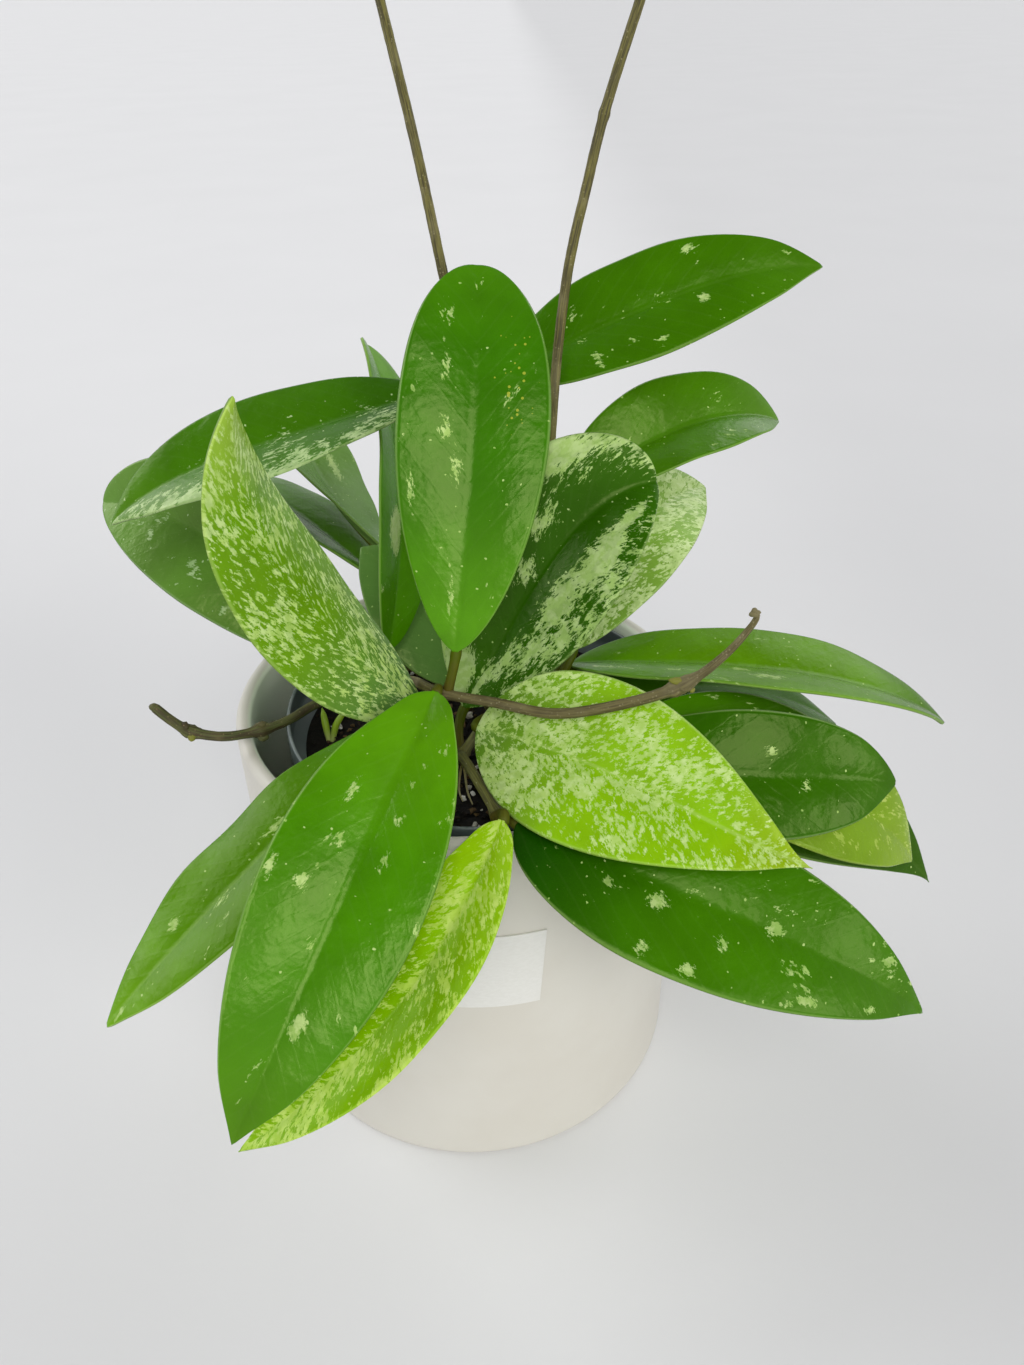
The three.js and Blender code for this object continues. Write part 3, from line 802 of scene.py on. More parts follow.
def add_tube(
    bm: BMesh,
    stations: Sequence[Station],
    sides: int = 14,
    material: int = 0,
    relief: Callable[[Vector, float], float] = lambda point, turn: 0.0,
) -> list[BMVert]:
    """Wrap a closed tube round a path.

    Args:
        bm: The mesh to add it to.
        stations: Points along the path with the tube's radius at each, zero at both ends.
        sides: Faces around.
        material: Index of its material.
        relief: Gives the share that is added to the radius from a station's point and the turn around it.

    Returns:
        The tube's vertices.
    """
    rows = len(stations) - 1
    verts = bmesh.ops.create_grid(bm, x_segments=sides, y_segments=rows, size=1.0)["verts"]
    at = {v: (round((v.co.x + 1) / 2 * sides), round((v.co.y + 1) / 2 * rows)) for v in verts}
    faces = list({face for v in verts for face in v.link_faces})
    points = [point for point, _ in stations]
    ahead = [(b - a).normalized() for a, b in zip(points, points[1:])]
    ahead.append(ahead[-1])
    side = ahead[0].orthogonal().normalized()
    sides_at, run = [], [0.0]
    for index, direction in enumerate(ahead):
        side = (side - direction * side.dot(direction)).normalized()
        sides_at.append(side)
        if index:
            run.append(run[-1] + (points[index] - points[index - 1]).length)
    widest = max(radius for _, radius in stations)
    write_map(bm, "skin", faces, lambda v: (at[v][0] / sides * math.tau * widest / 10, run[at[v][1]] / 10))
    for v, (column, row) in at.items():
        turn = math.tau * (column % sides) / sides
        point, radius = stations[row]
        arm = sides_at[row] * math.cos(turn) + ahead[row].cross(sides_at[row]) * math.sin(turn)
        v.co = point + arm * radius * (1.0 + relief(point, turn))
    for face in faces:
        face.material_index = material
    bmesh.ops.remove_doubles(bm, verts=verts, dist=0.0005)
    kept = [v for v in verts if v.is_valid]
    bmesh.ops.recalc_face_normals(bm, faces=[face for face in faces if face.is_valid])
    return kept


def add_lump(
    bm: BMesh, place: Vector, size: Triple, turn: Matrix, material: int, rough: float, seed: int
) -> None:
    """Add one small rounded lump.

    Args:
        bm: The mesh to add it to.
        place: Its centre.
        size: Its half sizes.
        turn: How it is turned.
        material: Index of its material.
        rough: How far its points stray, as a share of its size.
        seed: Number for the straying.
    """
    made = bmesh.ops.create_icosphere(bm, subdivisions=2, radius=1.0)["verts"]
    for v in made:
        v.co *= 1.0 + rough * noise.noise(v.co * 1.7 + Vector((seed * 3.7, 0.0, seed * 1.3)))
        v.co = turn @ Vector(a * b for a, b in zip(v.co, size)) + place
    faces = list({face for v in made for face in v.link_faces})
    for face in faces:
        face.material_index = material
    write_map(bm, "skin", faces, lambda v: ((seed * 0.37) % 1.0, 0.4 + 0.05 * (v.co.z - place.z)))


@dataclass(frozen=True)
class CoverPot:
    """Straight white pot with a round lip."""

    radius: float = 64.0
    height: float = 129.3
    wall: float = 4.2
    floor: float = 6.0
    foot_bevel: float = 1.5
    fillet: float = 5.0
    steps: int = 160

    def build(self) -> Piece:
        """Spin and glaze the pot.

        Returns:
            The pot's piece.
        """
        lip = self.wall / 2
        inner = self.radius - self.wall
        top = self.height - lip
        profile = [(0.0, 0.7), (30.0, 0.7), (56.5, 0.7), *arc((57.2, 0.7), 0.7, 180, 270, 4)]
        profile += arc((self.radius - self.foot_bevel, self.foot_bevel), self.foot_bevel, -90, 0, 6)
        profile += [(self.radius, z) for z in (3.0, 20.0, 55.0, 90.0, 115.0, top - 2.0)]
        profile += arc((self.radius - lip, top), lip, 0, 180, 12)
        profile += [(inner, z) for z in (top - 2.0, 100.0, 60.0, 20.0)]
        profile += arc((inner - self.fillet, self.floor + self.fillet), self.fillet, 0, -90, 8)
        profile += [(30.0, self.floor), (0.0, self.floor)]
        bm = turned(profile, self.steps)
        write_map(bm, "skin", bm.faces[:], lambda v: (v.co.x / 10, v.co.z / 10))
        return finish_piece("cover_pot_glazed", bm, [CeramicGlaze().material()], ["cover_pot"])


@dataclass(frozen=True)
class BlankLabel:
    """Small blank label stuck round the pot's front."""

    width: float = 40.0
    height: float = 27.0
    radius: float = 64.06
    thickness: float = 0.35
    centre: float = 84.0
    heading: float = -89.0
    tilt: float = 4.0

    def build(self) -> Piece:
        """Bend the label round the pot.

        Returns:
            The label's piece.
        """
        bm = bmesh.new()
        where = double_sheet(bm, 40, 14)
        lean = math.radians(self.tilt)
        for v, (across, along, face) in where.items():
            x = across * self.width / 2
            z = (along - 0.5) * self.height
            x, z = x * math.cos(lean) + z * math.sin(lean), z * math.cos(lean) - x * math.sin(lean)
            turn = math.radians(self.heading) + x / self.radius
            reach = self.radius + (self.thickness if face > 0 else 0.0)
            v.co = (reach * math.cos(turn), reach * math.sin(turn), self.centre + z)
        bmesh.ops.recalc_face_normals(bm, faces=bm.faces)
        for face in bm.faces:
            face.material_index = 0
        write_map(bm, "skin", bm.faces[:], lambda v: (where[v][0], where[v][1]))
        paper = PaperFinish().material()
        return finish_piece("label_blank", bm, [paper], ["label"], Shading.FACETED)


@dataclass(frozen=True)
class NurseryPot:
    """Thin dark pot that stands inside the cover pot."""

    shift: float = 4.5
    base: float = 6.3
    rim_top: float = 126.0
    rim_radius: float = 55.0
    rim_depth: float = 9.0
    top_radius: float = 53.0
    foot_radius: float = 42.0
    wall: float = 1.2
    hole_ring: float = 28.0
    hole_radius: float = 4.0
    holes: int = 5
    steps: int = 144

    def bore(self, bm: BMesh) -> None:
        """Open the drain holes in the floor.

        Args:
            bm: The pot's mesh, centred on its axis.
        """
        for index in range(self.holes):
            turn = math.tau * index / self.holes
            centre = Vector((self.hole_ring * math.cos(turn), self.hole_ring * math.sin(turn), 0.0))
            near = [
                face
                for face in bm.faces
                if face.calc_center_median().z < self.base + self.wall + 0.1
                and (face.calc_center_median().xy - centre.xy).length < self.hole_radius
            ]
            bmesh.ops.delete(bm, geom=near, context="FACES")
            edges = [edge for edge in bm.edges if edge.is_boundary]
            for v in {v for edge in edges for v in edge.verts}:
                out = v.co.xy - centre.xy
                v.co.xy = centre.xy + out.normalized() * self.hole_radius
            bmesh.ops.bridge_loops(bm, edges=edges)

    def build(self) -> Piece:
        """Spin the pot and open its holes.

        Returns:
            The pot's piece.
        """
        skirt = self.rim_top - self.rim_depth
        rings = [float(r) for r in range(2, int(self.foot_radius) - 1)]
        profile = [(0.0, self.base), *((r, self.base) for r in rings)]
        profile += arc((self.foot_radius - 1.0, self.base + 1.0), 1.0, -90, 0, 4)
        slope = (self.top_radius - self.foot_radius) / (self.rim_top - self.base)
        profile += [(self.foot_radius + slope * (z - self.base), z) for z in (12.0, 40.0, 80.0, skirt - 0.6)]
        rim, half = self.rim_radius, self.wall / 2
        profile += [(rim - 0.5, skirt - 0.5), (rim, skirt), (rim, skirt + 4.5)]
        profile += arc((rim - half, self.rim_top - half), half, 0, 180, 8)
        inner = rim - self.wall
        profile += [(inner, skirt + 4.5), (inner - 0.1, skirt + 1.4)]
        profile += [(self.top_radius - self.wall - 0.8, skirt + 0.6)]
        inside = ((z, self.foot_radius - self.wall + slope * (z - self.base)) for z in (80.0, 40.0, 12.0))
        profile += [(radius, z) for z, radius in inside]
        profile += [(self.foot_radius - self.wall - 0.8, self.base + self.wall + 0.2)]
        profile += [(r, self.base + self.wall) for r in reversed(rings[:-1])] + [(0.0, self.base + self.wall)]
        bm = turned(profile, self.steps)
        self.bore(bm)
        bmesh.ops.recalc_face_normals(bm, faces=bm.faces)
        bmesh.ops.translate(bm, vec=(self.shift, 0.0, 0.0), verts=bm.verts)
        write_map(bm, "skin", bm.faces[:], lambda v: (v.co.x / 10, v.co.z / 10))
        plastic = PlasticFinish(rim=self.rim_top).material()
        return finish_piece("nursery_pot_moulded", bm, [plastic], ["nursery_pot"])


@dataclass(frozen=True)
class PottingMix:
    """Bark and peat mix with perlite, filling the nursery pot."""

    shift: float = 4.5
    edge: float = 116.0
    crown: float = 117.6
    bottom: float = 7.8
    top_radius: float = 51.1
    low_radius: float = 40.3
    chips: int = 620
    crumbs: int = 700
    grains: int = 120
    chip_spans: tuple[Pair, ...] = ((1.6, 5.4), (1.0, 2.6), (0.5, 1.1))
    crumb_size: Triple = (1.3, 1.1, 0.9)
    grain_sizes: tuple[float, ...] = (0.35, 0.45, 0.6, 0.8, 1.15)
    lumps: tuple[Triple, ...] = ((1.0, 2.6, 1.5), (3.8, -21.4, 0.8), (2.9, -32.3, 0.8), (-2.6, -34.2, 0.4))
    seed: int = 11

    def height(self, radius: float) -> float:
        """Return the mix's height at a distance from its axis."""
        return blend(self.crown, self.edge, (radius / self.top_radius) ** 2)

    def scatter(self, dice: random.Random, reach: float) -> Vector:
        """Pick a place on the mix.

        Args:
            dice: Source of chance.
            reach: Greatest distance from the axis.

        Returns:
            The place on the surface.
        """
        radius = reach * math.sqrt(dice.random())
        turn = dice.random() * math.tau
        x, y = radius * math.cos(turn), radius * math.sin(turn)
        return Vector((x + self.shift, y, self.height(radius)))

    def bed(self) -> Piece:
        """Make the mix's body with its rough top.

        Returns:
            The body's piece.
        """
        rings = [self.top_radius * i / 34 for i in range(35)]
        profile = [(r, self.height(r) - 0.9) for r in rings]
        for t in (0.04, 0.5, 1):
            profile.append((blend(self.top_radius, self.low_radius, t), blend(self.edge, self.bottom, t)))
        bm = turned([*profile, (0.0, self.bottom)], 120)
        for v in bm.verts:
            if v.co.z > self.edge - 1.5 and v.co.xy.length < self.top_radius - 1.0:
                lift = noise.noise(v.co * 0.28) * 0.9 + noise.noise(v.co * 0.9) * 0.6
                v.co.z += min(0.8, max(-1.4, lift))
        bmesh.ops.translate(bm, vec=(self.shift, 0.0, 0.0), verts=bm.verts)
        write_map(bm, "skin", bm.faces[:], lambda v: (0.2 + 0.3 * noise.noise(v.co * 0.4), 0.0))
        earth = EarthFinish("peat_mix", (9, 8, 5), (30, 25, 16), (64, 56, 38))
        return finish_piece("soil_bed", bm, [earth.material()], ["soil"])

    def bark(self) -> Piece:
        """Strew flat chips and round crumbs over the bed.

        Returns:
            The chips' piece.
        """
        dice = random.Random(self.seed)
        bm = bmesh.new()
        count = self.chips
        for index in range(count + self.crumbs):
            flat = index < count
            place = self.scatter(dice, self.top_radius - (3.4 if flat else 1.4))
            size = tuple(dice.uniform(*span) for span in self.chip_spans) if flat else self.crumb_size
            swell = dice.uniform(0.7, 1.15) * (0.75 if flat else 0.8)
            made = bmesh.ops.create_cube(bm, size=1.0)["verts"]
            for v in made:
                stray = Vector(dice.uniform(-0.22, 0.22) for _ in range(3))
                v.co = Vector(a * b for a, b in zip(v.co + stray, size)) * swell
            lean = Matrix.Rotation(dice.gauss(0.0, 0.35), 3, "X")
            lean = lean @ Matrix.Rotation(dice.gauss(0.0, 0.3), 3, "Y")
            turn = Matrix.Rotation(dice.random() * math.tau, 3, "Z") @ lean
            bmesh.ops.rotate(bm, verts=made, matrix=turn, cent=(0, 0, 0))
            bmesh.ops.translate(bm, verts=made, vec=place + Vector((0.0, 0.0, dice.uniform(-0.9, 0.1))))
            faces = list({face for v in made for face in v.link_faces})
            own = dice.random()
            write_map(bm, "skin", faces, lambda v: (own, 0.0))
        bmesh.ops.bevel(
            bm, geom=bm.edges[:], offset=0.12, segments=1, profile=0.5,
            affect="EDGES", clamp_overlap=True, material=-1,
        )
        chip = EarthFinish("bark_chips", (14, 10, 6), (44, 33, 20), (98, 78, 48), 1300.0, 0.25)
        return finish_piece("bark_chips", bm, [chip.material()], shading=Shading.FACETED)

    def perlite(self) -> Piece:
        """Strew pale perlite grains over the bed.

        Returns:
            The grains' piece.
        """
        dice = random.Random(self.seed + 1)
        bm = bmesh.new()
        for index in range(self.grains):
            place = self.scatter(dice, self.top_radius - 2.5)
            size = dice.choice(self.grain_sizes) * dice.uniform(0.85, 1.2)
            if index < len(self.lumps):
                x, y, size = self.lumps[index]
                place = Vector((x, y, self.crown))
            spin = Matrix.Rotation(dice.random() * math.tau, 3, "Z")
            lift = Vector((0.0, 0.0, 0.25 * size))
            add_lump(bm, place + lift, (size, size * 0.65, size * 0.6), spin, 0, 0.7, index)
        white = EarthFinish("perlite", (176, 172, 160), (222, 220, 212), (244, 243, 238), 1600.0, 0.3)
        return finish_piece("perlite_grains", bm, [white.material()], shading=Shading.FACETED)

    def build(self) -> list[Piece]:
        """Make the bed and what lies on it."""
        return [self.bed(), self.bark(), self.perlite()]


@dataclass(frozen=True)
class Bud:
    """One lump on a stem: its place, half sizes, and whether it is green."""

    place: Triple
    size: Triple
    green: bool = False


@dataclass(frozen=True)
class StemPlan:
    """Course of one stem, out of the mix at its root and on through its path.

    Taper is the length over which its tip thins. Faint joints swell less than knuckles.
    """

    name: str
    root: Pair
    path: tuple[Triple, ...]
    knuckles: tuple[Triple, ...]
    bark: BarkFinish
    arm: tuple[Triple, ...] = ()
    taper: float = 0.0
    faint: tuple[Triple, ...] = ()
    buds: tuple[Bud, ...] = ()


class Stem:
    """A round stem with swollen joints."""

    foot = 102.0
    collar = 118.0
    sides = 16
    faint_swell = 0.35
    faint_reach = 1.2

    def __init__(self, plan: StemPlan, radius: float = 1.3, swell: float = 0.75) -> None:
        """Keep the stem's plan and sizes.

        Args:
            plan: Its course.
            radius: Its radius between joints.
            swell: What a joint adds to the radius.
        """
        self.plan = plan
        self.radius = radius
        self.swell = swell

    def nearness(self, point: Vector, joints: Sequence[Triple], reach: float) -> float:
        """Measure how near a point lies to the nearest of some joints.

        Args:
            point: The point.
            joints: Middles of the joints.
            reach: Distance over which a joint fades.

        Returns:
            1 at a joint's middle, fading to 0 away from it.
        """
        gaps = ((point - Vector(middle)).length / reach for middle in joints)
        return max((math.exp(-(gap**2)) for gap in gaps), default=0)

    def stations(self, points: Sequence[Triple]) -> list[Station]:
        """Give each point along a course its radius.

        Args:
            points: The course.

        Returns:
            The tube's stations with round ends.
        """
        line = curve_through(points)
        left = sum((b - a).length for a, b in zip(line, line[1:]))
        stations: list[Station] = []
        for index, point in enumerate(line):
            if index:
                left -= (point - line[index - 1]).length
            joint = self.nearness(point, self.plan.knuckles, 2.1)
            joint += self.faint_swell * self.nearness(point, self.plan.faint, self.faint_reach)
            thin = blend(0.5, 1.0, min(1.0, left / self.plan.taper)) if self.plan.taper else 1.0
            stations.append((point, self.radius * thin + self.swell * joint))
        return round_ends(stations)

    def relief(self, point: Vector, turn: float) -> float:
        """Return how far the bark stands out, as a share of the radius.

        Args:
            point: Point on the stem's middle line.
            turn: Turn around it in radians.

        Returns:
            The share.
        """
        around = Vector((math.cos(turn), math.sin(turn), 0.0))
        joint = self.nearness(point, self.plan.knuckles, 2.4)
        lumps = noise.noise(point * 0.9 + around * 1.1) * 0.3 * joint
        return lumps + noise.noise(point * 0.5 + around * 1.6) * 0.05

    def build(self) -> Piece:
        """Wrap the stem and its arm, and set its buds.

        Returns:
            The stem's piece.
        """
        x, y = self.plan.root
        bm = bmesh.new()
        trunk = [(x, y, self.foot), (x, y, self.collar), *self.plan.path]
        for course in (trunk, self.plan.arm):
            if course:
                add_tube(bm, self.stations(course), self.sides, 0, self.relief)
        for index, bud in enumerate(self.plan.buds):
            lean = Matrix.Rotation(0.5 * index, 3, "Z") @ Matrix.Rotation(0.4 + 0.3 * index, 3, "X")
            add_lump(bm, Vector(bud.place), bud.size, lean, 1 if bud.green else 0, 0.35, index + 3)
        green = SkinFinish(self.plan.name + "_bud", (112, 112, 40), (132, 134, 50), 1.0, 0.55, 0.3)
        materials = [self.plan.bark.material(), green.material()]
        return finish_piece(self.plan.name + "_grown", bm, materials, [self.plan.name])


@dataclass(frozen=True)
class AirRoots:
    """Thin pale roots that hang from the forked stem to the mix."""

    paths: tuple[tuple[Triple, ...], ...] = (
        ((0.4, -30.2, 127.0), (-0.4, -32.2, 123.0), (-0.6, -33.2, 119.0), (0.2, -34.0, 116.6)),
        ((0.9, -30.6, 127.6), (1.2, -33.4, 124.0), (1.7, -34.6, 120.0), (2.8, -35.4, 116.8)),
        ((-0.6, -30.0, 126.4), (-2.0, -32.2, 122.5), (-2.8, -33.0, 119.0), (-3.4, -33.2, 116.8)),
    )
    radius: float = 0.36

    def build(self) -> Piece:
        """Wrap the roots.

        Returns:
            The roots' piece.
        """
        bm = bmesh.new()
        for path in self.paths:
            line = curve_through(path, 0.6)
            thin = [(p, self.radius * blend(1.0, 0.55, i / len(line))) for i, p in enumerate(line)]
            add_tube(bm, round_ends(thin), 8, 0, lambda point, turn: 0.25 * noise.noise(point * 1.4))
        skin = SkinFinish("air_root", (168, 156, 96), (196, 188, 140), 1.0, 0.7, 0.2)
        return finish_piece("air_roots", bm, [skin.material()])


@dataclass(frozen=True)
class Sprout:
    """Two slim pale spears that come up by the pot's left rim."""

    root: Triple = (-39.0, -6.0, 112.0)
    spears: tuple[tuple[Triple, Triple], ...] = (
        ((-37.0, -4.0, 120.0), (-34.0, -2.0, 124.0)),
        ((-40.0, -4.0, 120.0), (-41.0, -1.0, 124.0)),
    )
    radius: float = 0.9

    def build(self) -> Piece:
        """Wrap the spears.

        Returns:
            The sprout's piece.
        """
        bm = bmesh.new()
        for spear in self.spears:
            line = curve_through((self.root, *spear), 0.5)
            last = len(line) - 1
            stations: list[Station] = []
            for index, point in enumerate(line):
                swell = 0.62 + 0.5 * math.sin(math.pi * (index / last) ** 1.4)
                stations.append((point, self.radius * swell * min(1.0, 0.25 + (last - index) / 5)))
            add_tube(bm, round_ends(stations), 10)
        skin = SkinFinish("sprout_skin", (176, 184, 120), (140, 172, 40), 1.0, 0.4, 0.35)
        return finish_piece("sprout_grown", bm, [skin.material()], ["sprout"])


@dataclass(frozen=True)
class LeafPlan:
    """Where one leaf grows and how its blade runs.

    Course holds the heading at the base, its rise, how much it bends, how much it sweeps round and
    how much its tip curls. Pose holds its roll, twist and fold. Outline holds the powers that shape
    the base and the tip of its outline. Ripple is how far its margins wave, and shoulder how much
    broader its base is.
    """

    name: str
    start: Triple
    base: Triple
    course: tuple[float, float, float, float, float]
    size: Pair
    pose: Triple
    outline: Pair
    finish: LeafFinish
    ripple: float = 0.5
    shoulder: float = 0.0


class Leaf:
    """One leaf: a thick blade with a sunk midrib, and its short stalk.

    Half thick holds half the blade's thickness at the midrib and near the margin, which is round from
    round_from outward. Groove and rib hold a depth and a breadth. The stalk runs out under the midrib
    over the keel's length, a share of the blade's.
    """

    columns = 30
    rows = 66
    cushion = 0.035
    half_thick = (0.65, 0.42)
    round_from = 0.965
    groove = (0.12, 0.75)
    rib = (0.75, 0.95)
    stalk_steps = 16
    keel_steps = 12
    keel_length = 0.24

    def __init__(self, plan: LeafPlan, seed: int) -> None:
        """Work out the midrib.

        Args:
            plan: How the leaf grows.
            seed: Number that sets it apart from the others.
        """
        self.plan = plan
        self.seed = seed
        self.phase = [random.Random(seed * 7 + i).uniform(0.0, math.tau) for i in range(4)]
        steps = 240
        self.midrib = [Vector(plan.base)]
        for index in range(steps):
            ahead = self.heading((index + 0.5) / steps)[0]
            self.midrib.append(self.midrib[-1] + ahead * plan.size[0] / steps)

    def heading(self, along: float) -> tuple[Vector, Vector, Vector]:
        """Work out the blade's directions at a place on the midrib.

        Args:
            along: Share of the length from the base.

        Returns:
            Directions ahead, across to the left and up out of the face.
        """
        toward, rise, bend, sweep, curl = self.plan.course
        turn = math.radians(toward + sweep * along)
        lift = math.radians(rise + bend * along + curl * along**4)
        ahead = Vector((math.cos(lift) * math.cos(turn), math.cos(lift) * math.sin(turn), math.sin(lift)))
        level = Vector((-math.sin(turn), math.cos(turn), 0.0))
        above = ahead.cross(level)
        roll = math.radians(self.plan.pose[0] + self.plan.pose[1] * along)
        across = level * math.cos(roll) + above * math.sin(roll)
        return ahead, across, above * math.cos(roll) - level * math.sin(roll)

    def point(self, along: float) -> Vector:
        """Find a point of the midrib.

        Args:
            along: Share of the length from the base.

        Returns:
            The point.
        """
        place = min(along, 1.0) * (len(self.midrib) - 1)
        index = min(int(place), len(self.midrib) - 2)
        return self.midrib[index].lerp(self.midrib[index + 1], place - index)

    def half_width(self, along: float) -> float:
        """Work out half the blade's breadth.

        Args:
            along: Share of the length from the base.

        Returns:
            Half the breadth there.
        """
        low, high = self.plan.outline
        widest = low / (low + high)
        full = widest**low * (1 - widest) ** high
        width = self.plan.size[1] / 2 * max(along, 0.0) ** low * max(1 - along, 0.0) ** high / full
        if high > 0.6:
            width *= 1.0 - 0.4 * max(0.0, (along - 0.86) / 0.14) ** 2
        width *= 1.0 + self.plan.shoulder * math.exp(-((along / 0.05) ** 2))
        return max(width, 0.85 if along < widest else 0.12)

    def surface(self, across: float, along: float, face: float) -> Vector:
        """Find a point of the blade's skin.

        Args:
            across: Place from the right margin (-1) to the left (1).
            along: Share of the length from the base.
            face: 1 for the upper face and -1 for the lower.

        Returns:
            The point.
        """
        _, side, up = self.heading(along)
        width = self.half_width(along)
        out = abs(across)
        distance = out * width
        fold = math.radians(self.plan.pose[2])
        cushion = self.cushion * width * math.sin(math.pi * out)
        first, second, third, fourth = self.phase
        waves = ((14.0, first), (23.0, second)) if across > 0 else ((15.0, third), (21.0, fourth))
        slow, quick = (math.sin(along * pace + phase) for pace, phase in waves)
        fade = math.sin(math.pi * min(1.0, along * 1.02)) ** 0.7
        wave = self.plan.ripple * fade * out**3 * (slow * 0.7 + quick * 0.4)
        half = min(blend(*self.half_thick, out), width * 0.8)
        if out > self.round_from:
            half *= math.sqrt(max(0.0, 1.0 - ((out - self.round_from) / (1.0 - self.round_from)) ** 2))
        deep, broad = self.groove
        groove = deep * math.exp(-((distance / broad) ** 2)) * min(1.0, along * 8.0) * (1.0 - along**3)
        deep, broad = self.rib
        rib = deep * math.exp(-((distance / broad) ** 2)) * (1.0 - along)
        level = half - groove if face > 0 else -half - rib
        rise = distance * math.sin(fold) + cushion + wave + level
        return self.point(along) + side * (across * width * math.cos(fold)) + up * rise

    def blade(self, bm: BMesh) -> None:
        """Shape the blade in an empty mesh.

        Args:
            bm: The mesh.
        """
        where = double_sheet(bm, self.columns, self.rows)
        spots: dict[BMVert, Triple] = {}
        for v, (x, y, face) in where.items():
            out = abs(x)
            across = math.copysign(blend(out**1.25, math.sin(out * math.pi / 2), 0.62), x) if out else 0.0
            spots[v] = (across, y - 0.8 * math.sin(math.tau * y) / math.tau, face)
        length = self.plan.size[0]
        write_map(bm, "blade", bm.faces[:], lambda v: ((spots[v][0] + 1) / 2, spots[v][1]))

        def flattened(v: BMVert) -> Pair:
            """Return a vertex's place on the flattened blade in centimetres."""
            across, along, _ = spots[v]
            return across * self.half_width(along) / 10, along * length / 10

        write_map(bm, "skin", bm.faces[:], flattened)
        for v, spot in spots.items():
            v.co = self.surface(*spot)
        bmesh.ops.remove_doubles(bm, verts=bm.verts, dist=0.004)

    def stalk(self, bm: BMesh) -> None:
        """Wrap the stalk and run it out along the midrib's underside.

        Args:
            bm: The mesh with the blade in it.
        """
        start, base = Vector(self.plan.start), Vector(self.plan.base)
        ahead = self.heading(0.0)[0]
        bend = base - ahead * 0.35 * (base - start).length
        start = start + (bend - start).normalized() * 1.2
        second = start.lerp(bend, 0.5)
        line: list[Station] = []
        for index in range(self.stalk_steps + 1):
            t = index / self.stalk_steps
            u = 1 - t
            point = start * u**3 + second * 3 * u * u * t + bend * 3 * u * t * t + base * t**3
            point = point - self.heading(0.0)[2] * 0.75 * t**4
            line.append((point, blend(1.42, 1.24, math.sin(math.pi * min(1.0, t * 1.1)))))
        for index in range(1, self.keel_steps + 1):
            share = index / self.keel_steps
            along = self.keel_length * index / self.keel_steps
            radius = blend(1.3, 0.3, share**0.8)
            line.append((self.point(along) - self.heading(along)[2] * (0.8 + 0.01 * index), radius))
        add_tube(bm, round_ends(line), 12, 2, lambda point, turn: 0.05 * noise.noise(point * 1.2))

    def build(self) -> Piece:
        """Shape and dress the whole leaf.

        Returns:
            The leaf's piece.
        """
        bm = bmesh.new()
        self.blade(bm)
        self.stalk(bm)
        name = self.plan.name
        top = self.plan.finish.material(name + "_face", self.seed * 11.3, self.plan.size)
        under = bpy.data.materials.get(UNDERSIDE.name) or UNDERSIDE.material()
        stalk = bpy.data.materials.get(STALK.name) or STALK.material()
        return finish_piece(name + "_grown", bm, [top, under, stalk], [name])


